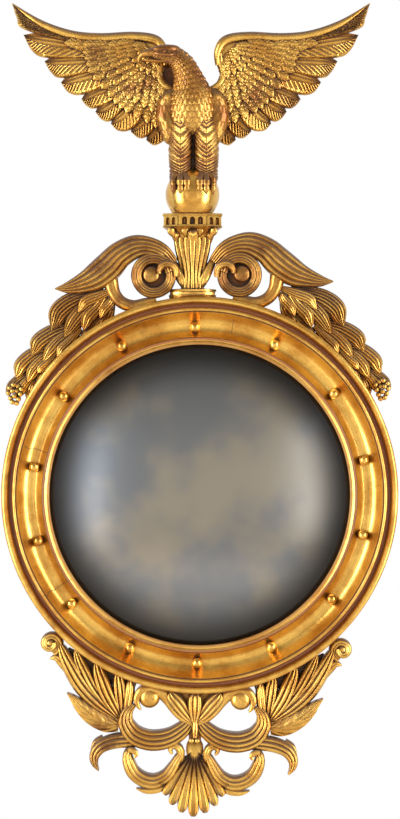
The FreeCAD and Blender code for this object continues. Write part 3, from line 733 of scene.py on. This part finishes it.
for side, hip, stout in ((-1, -15.6, 1.0), (1, 18.0, 1.06)):
    tube(bm, perched([(side * x, *rest) for x, *rest in shoulder_rows]), 80, 60, shoulder_cut)
    tube(bm, perched([(hip * 0.95, 38, 80, 2, 2), (hip, 42, 75, 9, 11), (hip, 45, 62, 13.4 * stout, 15),
                      (hip, 46, 38, 13.9 * stout, 16), (hip, 46, 20, 13.2 * stout, 15),
                      (hip, 47, 6, 12.6 * stout, 13.5), (hip, 48, -3, 12.0 * stout, 11.5),
                      (hip, 48, -8, 3, 3)]), 150, 80, breeches_cut)
    for splay in (-8.4, 0.0, 8.4):
        claw = hip + splay
        knuckle, nail = min(on_orb(claw, 12), knuckle_limit), min(on_orb(claw, 2), nail_limit)
        tube(bm, perched([(hip + splay * 0.5, 54, 6, 1, 1), (hip + splay * 0.7, 59, 3.0, 4.6, 4.6),
                          (claw, max(knuckle, 63) - 1, -2.5, 4.0, 4.0), (claw, knuckle + 2.0, -6.5, 5.0, 4.4),
                          (claw, nail + 0.6, -11.5, 3.6, 3.4), (claw, nail + 1.2, -15, 4.2, 3.0),
                          (claw, nail + 0.8, -19, 2.4, 1.9), (claw, nail - 0.5, -23, 0.05, 0.05)]),
             50, 20, toe_cut)
eagle_gold = gilding("eagle_gilding", wear=0.64, reach=10.0, shine=0.36, dusted_and_darkened=0.7, toned=0.9)
finished(bm, "carved_eagle", eagle_gold, ["eagle_body"], crease=50)

# ---- The orb --------------------------------------------------------------------------
# A turned softwood ball, gilt and burnished brighter than the carving. It is cut flat
# below, where it is glued to the plinth over the iron dowel.

bm = bmesh.new()
bmesh.ops.create_uvsphere(bm, u_segments=96, v_segments=64, radius=orb_radius * MM)
bmesh.ops.translate(bm, vec=(crest_middle * MM, -orb_depth * MM, orb_middle * MM), verts=bm.verts)
bmesh.ops.bisect_plane(bm, geom=bm.verts[:] + bm.edges[:] + bm.faces[:], plane_co=(0, 0, orb_low.z),
                       plane_no=(0, 0, 1), clear_inner=True)
bmesh.ops.holes_fill(bm, edges=[edge for edge in bm.edges if edge.is_boundary])
finished(bm, "burnished_orb", ball_gold, ["orb"])

# ---- The plinth and the capital -------------------------------------------------------
# A gilt half-octagon block with flutes between two fillets sits on a carved softwood bell:
# long leaves rise from a moulded foot, draw in at the waist and curl over under the block.
# Both are glued, and a strap behind ties them to the ring.


def half_octagon(bm, levels, front_share):
    """Skins rings of a block with canted front corners; a level is (height up, half width)."""
    rings = []
    for z, half in levels:
        near = half * front_share
        plan = [(half, 0), (half, near), (near, half), (-near, half), (-half, near), (-half, 0)]
        rings.append([bm.verts.new(((crest_middle + x) * MM, -(back_plane + deep) * MM, z * MM))
                      for x, deep in plan])
    loops = [[bm.edges.new((ring[i], ring[(i + 1) % 6])) for i in range(6)] for ring in rings]
    for lower, upper in zip(loops, loops[1:]):
        bmesh.ops.bridge_loops(bm, edges=lower + upper)
    bmesh.ops.contextual_create(bm, geom=rings[0])
    bmesh.ops.contextual_create(bm, geom=rings[-1])


plinth_low, plinth_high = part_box("plinth")
block_bottom, block_top = plinth_low.z / MM, plinth_high.z / MM
block_half = (plinth_high.x - plinth_low.x) / 2 / MM
lower_fillet = [(0, 1.2), (1.0, 0), (2.2, 0.2), (2.6, 6.4)]
upper_fillet = [(-4.2, 6.4), (-3.8, 0.9), (-2.4, 0.4), (-2.2, 0), (-0.4, 0), (0, 0.6)]
bm = bmesh.new()
half_octagon(bm, [(block_bottom + up, block_half - inset) for up, inset in lower_fillet]
             + [(block_top + up, block_half - inset) for up, inset in upper_fillet], 0.5)
panel_low, panel_high = block_bottom + 2.4, block_top - 4.0
panel_face, panel_thickness = block_half - 1.2, 6.4
flute_radius, flute_depth = 3.1, 4.8
canted = 0.7071 * 1.5              # a canted panel's share of the front panel's distance out
for turn, out, half_wide, flutes in ((-45, canted, 12.9, (-5.6, 5.2)), (0, 1.0, 18.2, (-10.2, 0, 10.2)),
                                     (45, canted, 12.9, (-5.2, 5.6))):
    grid = bmesh.ops.create_grid(bm, x_segments=72, y_segments=30, size=0.5)["verts"]
    for vert in grid:
        x, z = vert.co.x * 2 * half_wide, panel_low + (vert.co.y + 0.5) * (panel_high - panel_low)
        hollow = 0.0
        for flute in flutes:
            away = hypot(x - flute, max(0.0, z - (panel_high - 4.4)))
            if away < flute_radius and z > panel_low + 1.0:
                hollow = flute_depth * sqrt(1 - (away / flute_radius) ** 2)
        vert.co = (x * MM, -(panel_face * out - hollow) * MM, z * MM)
    behind = backed(bm, faces_of(grid), panel_face * out - panel_thickness)
    for vert in grid + behind:
        vert.co = Matrix.Rotation(radians(turn), 3, "Z") @ vert.co
        vert.co += Vector((crest_middle * MM, -back_plane * MM, 0))
finished(bm, "fluted_plinth", carved_gold, ["plinth"])

cap_foot = ring_high.z / MM
cap_height = block_bottom - cap_foot
foot_mould = [(-3.0, 30.0), (2.0, 31.0), (2.6, 29.4), (6.4, 29.4), (7.2, 31.0), (9.4, 31.0), (10.4, 26.0)]
bell = [(0.125, 17.0), (0.245, 16.5), (0.39, 18.0), (0.54, 22.0), (0.685, 25.0), (0.83, 26.0), (0.90, 28.0),
        (0.96, 32.5), (1.0, 37.4)]


def bell_radius(share):
    """The bell's half width at a share of its height."""
    for (low, first), (high, second) in zip(bell, bell[1:]):
        if low <= share <= high:
            return first + (second - first) * (share - low) / (high - low)


def bell_face(share, x, least):
    """How far the bell's rounded front stands off the ring's back, by distance from its middle."""
    return bell_radius(share) * sqrt(max(least, 1 - (x / bell_radius(share)) ** 2))


def on_bell(rows):
    """Places rows of (x, height off the ring's back, share of the bell's height, half across, half deep)."""
    return [(crest_middle + x, back_plane + out, cap_foot + cap_height * share, wide, deep)
            for x, out, share, wide, deep in rows]


def stringy(strings, depth):
    """Cords cut along a strand, which die out at its ends."""
    def cut(share, turn):
        return depth * abs(sin(2 * pi * strings * turn)) * ends(share, 8, 5)
    return cut


bm = bmesh.new()
half_octagon(bm, [(cap_foot + up, half) for up, half in foot_mould]
             + [(cap_foot + cap_height * share, half - 2.0 * (share < 0.9)) for share, half in bell], 0.55)
strands = [(0, 0, 0, 3.4, 4.5), (-7.5, -4.2, -4.6, 3.2, 3.0), (7.5, 4.2, 4.6, 3.2, 3.0),
           (-14.5, -8.2, -9.2, 3.2, 3.6), (14.5, 8.2, 9.2, 3.2, 3.6), (-20, -12.6, -12.5, 3.0, 2.2),
           (20, 12.6, 12.5, 3.0, 2.2)]
strand_steps = ((0.125, 0.0, 0.9), (0.2, 0.25, 0.75), (0.30, 0.5, 0.66), (0.42, 0.62, 0.72),
                (0.55, 0.76, 0.95), (0.68, 0.9, 1.2), (0.80, 1.0, 1.3), (0.86, 1.03, 1.0))
for top, waist, foot, half, lift in strands:
    rows = []
    for share, blend, swell in strand_steps:
        x = foot + (waist - foot) * blend * 2 if blend <= 0.5 else waist + (top - waist) * (blend - 0.5) * 2
        rows.append((x, bell_face(share, x, 0.05) * 0.92 + lift * 0.6, share, half * swell, 3.4))
    tube(bm, on_bell(rows), 70, 24, stringy(3, 0.5))
for side in (-1, 1):
    for out, top, half in ((0.5, 0.47, 5.2), (-5.2, 0.40, 3.4)):
        tube(bm, on_bell([(side * (9.5 - out * 0.3), 12, 0.11, 2.2, 3),
                          (side * (14.5 + out * 0.6), 15, top * 0.4 + 0.05, half, 3.6),
                          (side * (20.5 + out), 15, top * 0.75 + 0.03, half, 3.6),
                          (side * (26.5 + out), 12, top + 0.07, half * 0.8, 3),
                          (side * (28.0 + out), 9, top + 0.13, 0.2, 0.6)]), 40, 20, stringy(3, 0.4))
for x, wide in ((-20.5, 6.2), (0.5, 6.6), (21.5, 6.2)):
    near = bell_face(0.8, x, 0.1) * 0.95
    tube(bm, on_bell([(x * 0.86, near - 1, 0.70, 1.5, 1.5), (x * 0.93, near + 2, 0.80, wide * 0.75, 2.6),
                      (x, near + 5.5, 0.885, wide, 2.8), (x * 1.03, near + 9.5, 0.92, wide * 0.9, 2.4),
                      (x * 1.04, near + 12.5, 0.885, wide * 0.55, 2.0),
                      (x * 1.03, near + 12.0, 0.835, 0.3, 0.4)]), 60, 26, stringy(4, 0.6))
for x in (-30, -10.5, 10.5, 30):
    tube(bm, on_bell([(x * 0.8, 26, 0.85, 1.0, 1.0), (x * 0.88, 29, 0.91, 4.4, 2.4),
                      (x * 0.95, 32, 0.955, 4.6, 2.2), (x, 33, 0.99, 0.4, 0.5)]), 30, 18)
finished(bm, "leaf_capital", carved_gold, ["capital"], crease=45)

# ---- The crest scrolls ----------------------------------------------------------------
# An arched reeded leaf of gilt softwood springs from the capital and curls over a volute
# with a round eye. The pair were glued on slightly askew, and the right one is a left one
# mirrored, with its eye a little farther out.

crest_lean, swag_lean, apron_lean = 1.5, 0.7, -1.3


def crest_scroll(eye_x, eye_z):
    """The left scroll: leaf, outer curl, ground, coil, tongue, then the eye."""
    bm = bmesh.new()
    carve(bm, [(-26, 303, 7, 29), (-40, 318, 10, 35), (-57, 325.5, 12, 37), (-76, 325.5, 15, 38),
               (-96, 315.5, 17, 38.5), (-112, 300, 19, 38), (-130, 286.5, 17.5, 37), (-148, 279, 12.5, 35),
               (-166, 274.5, 7, 33), (-181.5, 273.5, 0.6, 30)], back_plane, reeded(5, 0.17), 90, 44, 0.32)
    carve(bm, [(-107, 300, 6, 31), (-109, 284, 9.5, 33), (-105, 266, 8.5, 34), (-95, 253.5, 8, 34),
               (-80, 248.5, 7.5, 34), (-64, 252, 6.5, 33), (-50, 256, 4, 31)],
          back_plane, reeded(2, 0.12), 50, 14, 0.5)
    # The ground behind the coil lies near the wall, where the gilding's painted shade makes it dark.
    carve(bm, [(eye_x, eye_z - 29, 1, 16), (eye_x, eye_z - 17, 20, 17), (eye_x, eye_z, 27, 17),
               (eye_x, eye_z + 17, 20, 17), (eye_x, eye_z + 29, 1, 16)], back_plane, plain, 30, 16, 0.02)
    coil = []
    coil_radius = 22.4
    for i in range(19):
        turn = radians(12 + 20 * i)
        coil.append((eye_x + coil_radius * cos(turn), eye_z + coil_radius * sin(turn), 7.8 - 0.08 * i,
                     36.5 - 0.1 * i))
    carve(bm, coil, back_plane, reeded(4, 0.2), 150, 34, 0.42)
    carve(bm, [(eye_x + 29.5, eye_z - 2, 3.4, 37), (eye_x + 28, eye_z + 8, 4.4, 39),
               (eye_x + 21, eye_z + 14, 4.8, 41), (eye_x + 13, eye_z + 13.5, 4.6, 42),
               (eye_x + 8, eye_z + 7.5, 3.8, 41.5), (eye_x + 7.6, eye_z + 2, 2.6, 40)],
          20, reeded(2, 0.22), 60, 14, 0.5)
    button(bm, eye_x - 3.6, eye_z + 1.0, 31, 10.8, 0.35)
    button(bm, eye_x - 4.4, eye_z + 1.6, 32.5, 7.0, 0.35)
    return bm


scroll_gold = gilding("scroll_gilding", wear=0.60, reach=9.0, shine=0.30, dusted_and_darkened=1.0, toned=0.75)
for side, eye_x, eye_z in (("left", -52.4, 287.2), ("right", -59.0, 285.2)):
    finished(leaned(crest_scroll(eye_x, eye_z), crest_lean, side == "right"), "scroll_" + side, scroll_gold,
             ["crest_scroll_" + side])

# ---- The swags ------------------------------------------------------------------------
# Four husks of ribbed leaves, each smaller than the last, end in a cluster of berries. They
# are cut from one softwood board, lapped like scales and gilt, and iron pins hold them off
# the ring.

# Each leaf is its root, shoulder, bend and tip, then its half width, height and ribs.
husk_leaves = [
    ((-210.8, 165.1), (-230.4, 154.9), (-242.3, 144.7), (-251.5, 135.7), 8.1, 21, 5),
    ((-208.3, 159.9), (-216.2, 148.3), (-220.2, 137.9), (-224.3, 127.5), 6.3, 21, 4),
    ((-210.8, 162.5), (-224.0, 150.9), (-231.9, 139.3), (-237.3, 129.0), 6.75, 24, 4),
    ((-184.5, 193.4), (-210.5, 187.2), (-228.9, 173.1), (-238.2, 155.0), 10.8, 23, 5),
    ((-176.8, 182.9), (-192.5, 170.1), (-201.8, 159.8), (-211.0, 148.2), 8.1, 22, 4),
    ((-181.9, 190.7), (-202.9, 178.0), (-214.7, 165.1), (-222.7, 149.6), 9.0, 27, 5),
    ((-183.2, 188.2), (-193.8, 176.6), (-203.0, 168.9), (-209.6, 161.2), 6.3, 29.5, 4),
    ((-152.9, 222.9), (-182.9, 215.5), (-205.1, 202.7), (-217.1, 184.7), 12.6, 25, 6),
    ((-145.2, 211.1), (-158.4, 197.0), (-171.5, 188.0), (-186.0, 177.8), 9.0, 24, 4),
    ((-153.0, 216.4), (-175.2, 206.3), (-189.7, 192.1), (-201.6, 176.7), 9.9, 28, 5),
    ((-152.9, 219.0), (-166.1, 203.5), (-176.7, 193.3), (-183.3, 183.0), 7.2, 31, 4),
    ((-121.2, 265.4), (-157.7, 255.4), (-178.7, 241.4), (-190.7, 216.8), 14.4, 27, 7),
    ((-110.9, 254.9), (-116.3, 239.3), (-122.9, 227.7), (-130.9, 217.4), 9.0, 24, 4),
    ((-116.3, 241.9), (-129.5, 226.5), (-140.0, 214.9), (-153.1, 206.0), 9.9, 25, 5),
    ((-121.2, 260.2), (-144.8, 244.9), (-159.3, 229.5), (-173.9, 207.5), 11.7, 30, 6),
    ((-119.9, 262.8), (-130.5, 247.3), (-142.4, 234.5), (-149.1, 216.3), 9.9, 32, 5),
    ((-110.7, 267.9), (-129.0, 260.3), (-144.7, 254.0), (-155.3, 239.8), 8.1, 33, 4),
    ((-108.2, 262.6), (-113.5, 252.3), (-121.4, 243.3), (-126.8, 231.7), 7.2, 31, 4),
]
berry_radius = 3.5
husk_back = 14.5                   # the pins hold the leaves this far off the wall
berries = [(-246.2, 142.1), (-240.9, 146.0), (-235.8, 144.6), (-230.6, 140.6), (-247.6, 135.6),
           (-242.3, 138.2), (-237.1, 138.1), (-232.0, 134.1), (-245.1, 129.1), (-239.8, 131.6),
           (-234.7, 127.7), (-242.5, 123.9), (-237.3, 122.5)]


def swag():
    """The left swag, from the lowest husk up, with its berries."""
    bm = bmesh.new()
    for i, (x, z) in enumerate(berries):
        button(bm, x, z, 27.5 + 1.8 * (i % 2), berry_radius)
    for root, upper, bend, tip, half, height, ribs in husk_leaves:
        carve(bm, [(*root, half * 0.45, height - 3), (*upper, half * 0.92, height),
                   (*bend, half, height + 1.6), (*between(bend, tip, 0.6), half * 0.62, height + 1.8),
                   (*tip, 0.4, height + 0.5)], husk_back, reeded(ribs, 0.17), 44, 5 * ribs, 0.55)
    return bm


for side in ("left", "right"):
    finished(leaned(swag(), swag_lean, side == "right"), "husks_" + side, carved_gold, ["swag_" + side])

# ---- The apron ------------------------------------------------------------------------
# Two mirrored pierced halves of gilt softwood, tied to the ring by iron straps: a volute and
# a fan of striped leaves against the ring, a reeded scroll that winds round each opening,
# and a curled leaf.

volute_eye = (-190, -198)
volute_steps = 16
fan_leaves = [(-179, -196, 10.5, -9, 3), (-158, -205, 9.5, -7, 3), (-130, -220, 10.5, -4, 3),
              (-101, -233, 9.5, 0, 3), (-85, -243, 7.0, 2, 2)]
fan_steps = ((0.0, 0.35, 29), (0.25, 0.85, 33), (0.52, 1.0, 35), (0.78, 0.9, 35.5), (0.93, 0.55, 35),
             (1.0, 0.06, 34))


def volute():
    """Rows of the scroll that winds in on the volute's eye."""
    rows = []
    for i in range(volute_steps + 1):
        share = i / volute_steps
        angle = radians(450 * share - 75)
        radius = 13.0 - 8.0 * share ** 0.8
        rows.append((volute_eye[0] + radius * cos(angle), volute_eye[1] + radius * sin(angle),
                     6.2 * (1 - 0.45 * share), 33 + 6 * share))
    return rows


def apron():
    """The left half: its strip and fan on the ring, volute, leaves, scroll, curls and edge."""
    bm = bmesh.new()
    # The strip behind the fan lies near the wall, where the gilding's painted shade makes it dark.
    carve(bm, [(-168, -206, 3, 15), (-150, -219, 7, 16), (-126, -233, 9, 16), (-100, -245, 9, 16),
               (-78, -252, 5, 15)], back_plane, plain, 30, 8, 0.1)
    for i, (x, z, half, bow, ribs) in enumerate(fan_leaves):
        root = (-103 + 3 * i, -293)
        rows = []
        for share, swell, height in fan_steps:
            line_x, line_z = between(root, (x, z), share)
            bent = bow * sin(pi * share)
            rows.append((line_x + bent * 0.8, line_z + bent, half * swell, height - (i % 2) * 1.6))
        carve(bm, rows, back_plane, reeded(ribs, 0.3), 50, 24, 0.5)
    carve(bm, [(-190, -218, 1, 31), (-181, -217, 5, 33), (-171, -226, 6.5, 33), (-158, -240, 6.5, 33),
               (-140, -258, 5, 32), (-120, -276, 3, 30)], back_plane, reeded(2, 0.2), 44, 14, 0.45)
    carve(bm, volute(), back_plane, reeded(2, 0.24), 90, 16, 0.5)
    button(bm, *volute_eye, 32, 6.0)
    carve(bm, [(-199, -198, 4, 20), (-190, -198, 10, 20), (-181, -198, 4, 20)],
          back_plane, plain, 20, 12, 0.05)
    carve(bm, [(-99, -303, 8, 31), (-116, -301, 11, 33), (-134, -291, 11.5, 34), (-149, -279, 8.5, 33),
               (-159, -269, 4.2, 32), (-167, -262.5, 0.4, 31)],
          back_plane, leaf_cut(7, 1.7, 0.16, 0.16), 50, 22, 0.38)
    carve(bm, [(-70, -322, 8, 32), (-88, -322, 9.5, 34), (-106, -324.5, 9.5, 35), (-121, -331, 8.5, 36),
               (-129, -342, 7, 35.5), (-129, -353, 4.4, 35), (-123.5, -362.5, 0.4, 33)],
          back_plane, reeded(3, 0.26), 60, 24, 0.45)
    carve(bm, [(-118, -322, 6, 30), (-128, -327, 4.5, 31), (-134.5, -336, 0.4, 30)],
          back_plane, reeded(2, 0.2), 24, 12, 0.4)
    carve(bm, [(-80, -275, 4, 34), (-88, -286, 7.5, 36), (-89, -300, 10.5, 37), (-79, -314, 12.5, 37.5),
               (-62, -321, 13, 38), (-45, -321, 13, 38), (-29, -316, 12, 37), (-16, -307, 10.5, 36),
               (-7, -298, 8, 34)], back_plane, reeded(4, 0.19), 90, 40, 0.34)
    carve(bm, [(4, -303, 5, 34), (-11, -293, 6.5, 36), (-24, -281, 7.5, 34), (-34, -268, 8, 34.5),
               (-45, -258, 8, 37), (-58, -253.5, 7, 38), (-70, -257, 5.5, 38), (-76, -267, 4.2, 37),
               (-74, -277, 2.5, 35), (-70, -282, 0.4, 34)], back_plane, plain, 70, 16, 0.5)
    button(bm, -59.5, -265.5, 31, 13.6, 0.65)
    carve(bm, [(-80, -330, 4, 30), (-86, -340, 6, 33), (-84.5, -351, 8, 35), (-78, -364, 9, 35),
               (-65, -373, 9.5, 35), (-50, -375, 9.5, 35), (-36, -368, 8.5, 34), (-27, -356, 7, 33),
               (-20, -343, 5, 32), (-14, -334, 3, 31)], back_plane, reeded(3, 0.24), 80, 26, 0.42)
    carve(bm, [(-86, -334, 3.5, 35), (-80, -334.5, 4, 36), (-75, -339, 3, 36), (-77, -344, 1.4, 35)],
          26, plain, 24, 10, 0.5)
    carve(bm, [(-74, -385, 0.4, 29), (-62, -387.5, 3.6, 31), (-48, -386, 4.4, 32), (-34, -381, 3.5, 31)],
          back_plane, plain, 24, 8, 0.5)
    return bm


for side in ("left", "right"):
    finished(leaned(apron(), apron_lean, side == "right"), "apron_carving_" + side, carved_gold,
             ["apron_" + side])

# ---- The palmette ---------------------------------------------------------------------
# A fluted shell of gilt softwood, glued under the apron's halves: nine narrow flutes with
# sharp rims spread from a hollow hub, which two short curls close above.


def fluted(base, rise, dish):
    """A flute's face: it climbs to its free end and its rims stand proud of its floor."""
    def front(share, side):
        across = abs(side - 0.5) * 2
        rim = dish * exp(-((across - 0.78) / 0.17) ** 2)
        side_fall = 3.2 * max(0.0, across - 0.86) / 0.14
        end_fall = 5 * max(0.0, share - 0.93) / 0.07
        return base + rise * sin(share * pi / 2) + rim - side_fall - end_fall
    return front


hub = (1, -332)
flute_turn = 11
flute_spreads = ((0.06, 5.6), (0.35, 5.6), (0.7, 5.9), (0.9, 5.2), (0.975, 3.2), (1.0, 0.8))
bm = bmesh.new()
for i in range(-4, 5):
    reach = 87.0 - 23.5 * (abs(i) / 4) ** 1.35
    lines = []
    for edge in (-1, 1):
        points = []
        for share, spread in flute_spreads:
            angle = radians(flute_turn * i + edge * spread)
            points.append((hub[0] + reach * share * sin(angle), hub[1] - reach * share * cos(angle)))
        lines.append(points)
    ruled(bm, *lines, back_plane, fluted(21, 15.5 - 0.5 * abs(i), 2.8), 70, 26)
for side in (-1, 1):
    carve(bm, [(side * 22, -352, 3, 27), (side * 17, -343, 5, 31), (side * 19, -332, 5, 34),
               (side * 26, -327, 4.5, 34), (side * 31, -333, 3, 33), (side * 28, -339, 1, 32)],
          back_plane, reeded(2, 0.2), 40, 14, 0.5)
carve(bm, [(1, -320, 7, 20), (1, -328, 11, 23), (1, -340, 10, 25), (1, -352, 2, 23)],
      back_plane, plain, 24, 14, 0.2)
finished(leaned(bm, apron_lean), "fluted_shell", carved_gold, ["apron_palmette"])

# ---- The sprig ------------------------------------------------------------------------
# Three ribbed leaves, a short spine and two beads, carved as one in softwood and gilt. The
# sprig is glued over the joint of the apron's halves.

bm = bmesh.new()
for x, z, half, top in ((-33, -257, 10.0, 37.5), (33, -257, 10.0, 37.5), (0, -256.5, 10.5, 39.5)):
    carve(bm, [(x * 0.05, -297, 3, top - 2), (x * 0.35, -286, half * 0.8, top),
               (x * 0.66, -273, half, top + 0.6), (x * 0.9, -263, half * 0.86, top), (x, z, 1.0, top - 1)],
          33, reeded(3, 0.3), 40, 26, 0.45)
# Plates behind the leaves lie near the wall and close the gaps, which the gilding's painted shade makes dark.
carve(bm, [(1, -250, 26, 19), (1, -262, 24, 19), (1, -276, 13, 19), (1, -291, 5, 19)],
      back_plane, plain, 16, 12, 0.02)
carve(bm, [(1, -298, 6, 19), (1, -310, 8, 19), (1, -325, 8, 19)], back_plane, plain, 12, 8, 0.02)
carve(bm, [(1, -296, 3, 37), (1, -305, 4.2, 38), (1, -316, 3, 37)], 33, reeded(2, 0.5), 24, 14, 0.4)
button(bm, -3.4, -320, 36, 3.4)
button(bm, 4.2, -320, 36, 3.4)
finished(leaned(bm, apron_lean), "leaf_sprig", carved_gold, ["apron_sprig"])

# ---- The back -------------------------------------------------------------------------
# Three pine planks are nailed over the glass, softwood blocks wedge it, flat iron straps tie
# the carvings to the ring, and two brass hangers are screwed to its sides.


def worn(name, light, dark, scale, stretch, metal, rough):
    """A worn material whose streaks run along the way it is stretched."""
    material, tree, shader = blank_material(name)
    grain = noise(tree, scale, 8, 0.5, 0.6, stretch)
    stain = ramp(tree, noise(tree, 14, 5, 0.65), 0.52, 0.78)
    streaks = mixed(tree, ramp(tree, grain, 0.38, 0.62), dark, light)
    feed(tree, shader, {"Base Color": mixed(tree, stain, streaks, dark), "Metallic": metal,
                        "Roughness": plus(tree, times(tree, grain, 0.25), rough),
                        "Normal": bumped(tree, grain, 0.35, 0.5)})
    return material


pine = worn("old_pine", (0.36, 0.20, 0.085, 1), (0.15, 0.070, 0.028, 1), 30, (1, 8, 12), 0.0, 0.62)
iron = worn("hammered_iron", (0.10, 0.085, 0.075, 1), (0.075, 0.032, 0.016, 1), 60, None, 0.75, 0.42)
brass = worn("tarnished_brass", (0.62, 0.43, 0.17, 1), (0.24, 0.15, 0.060, 1), 50, None, 0.95, 0.28)
iron_names = ("crest_strap", "apron_strap_left", "apron_strap_right", "eagle_dowel", "swag_pins_left",
              "swag_pins_right")
brass_names = ("hanger_strap_left", "hanger_strap_right", "hanger_loop_left", "hanger_loop_right")
for material, names in ((pine, ("glazing_blocks",)), (iron, iron_names), (brass, brass_names)):
    for name in names:
        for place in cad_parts[name].material_slots:
            place.link = "DATA"
            place.material = material


planed_back = 1.0                  # keeps the nails' heads inside the mirror's back


def plank(name, outline):
    """A pine plank with its back edges eased by a plane."""
    bm = bmesh.new()
    edge = [bm.verts.new((x * MM, -back_plane * MM, z * MM)) for x, z in outline]
    behind = backed(bm, bmesh.ops.contextual_create(bm, geom=edge)["faces"], planed_back)
    rims = [line for line in bm.edges if all(vert in behind for vert in line.verts)]
    bmesh.ops.bevel(bm, geom=rims, offset=1.2 * MM, segments=2, profile=0.5, affect="EDGES")
    finished(bm, "planed_" + name, pine, [name])


board_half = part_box("backboard_plank_2")[1].x / MM
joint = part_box("backboard_plank_2")[1].z / MM
corner = board_half * 0.4142       # an octagon's half side, as a share of its half width
top_outline = [(-board_half, joint), (board_half, joint), (board_half, corner), (corner, board_half),
               (-corner, board_half), (-board_half, corner)]
plank("backboard_plank_1", top_outline)
plank("backboard_plank_2", [(-board_half, -joint), (board_half, -joint), (board_half, joint),
                            (-board_half, joint)])
plank("backboard_plank_3", [(x, -z) for x, z in top_outline])
nail_line, nail_gap = board_half - 7, 62
nail_width, nail_waist, nail_height = 2.6, 1.8, 1.6
bm = bmesh.new()
for side in range(8):
    turn = radians(45 * side)
    for off in (-nail_gap, 0, nail_gap):
        x, z = nail_line * cos(turn) - off * sin(turn), nail_line * sin(turn) + off * cos(turn)
        head = bmesh.ops.create_cone(bm, cap_ends=True, segments=14, radius1=nail_width * MM,
                                     radius2=nail_waist * MM, depth=nail_height * MM)["verts"]
        bmesh.ops.rotate(bm, cent=(0, 0, 0), matrix=Matrix.Rotation(radians(-90), 3, "X"), verts=head)
        bmesh.ops.translate(bm, vec=(x * MM, -0.9 * MM, z * MM), verts=head)
finished(bm, "backboard_nails", iron)


def screw_head(bm, x, z, face, radius, turn):
    """Two half discs with a slot between, on a face that looks back to the wall."""
    for side in (0, 180):
        rim = []
        for step in range(13):
            angle = radians(turn + side - 81 + 162 * step / 12)
            rim.append(bm.verts.new(((x + radius * cos(angle)) * MM, -(face + 0.8) * MM,
                                     (z + radius * sin(angle)) * MM)))
        backed(bm, bmesh.ops.contextual_create(bm, geom=rim)["faces"], face - 0.9)


strap_face, strap_screw = 6.0, 3.4
crest_screws, apron_screws = (236, 250, 300, 316), (236, 250, 276)
bm = bmesh.new()
for lean, reaches in ((crest_lean, crest_screws), (150 + apron_lean, apron_screws),
                      (210 + apron_lean, apron_screws)):
    for i, reach in enumerate(reaches):
        screw_head(bm, 5 * (-1) ** i - reach * sin(radians(lean)), reach * cos(radians(lean)), strap_face,
                   strap_screw, 25 + 50 * i)
finished(bm, "strap_screws", iron)
hanger_face, hanger_screw, hanger_out = 8.5, 2.8, 233
bm = bmesh.new()
for side in (-1, 1):
    for z in (49, 70):
        screw_head(bm, side * hanger_out, z, hanger_face, hanger_screw, 2.5 * z)
finished(bm, "hanger_screws", brass)
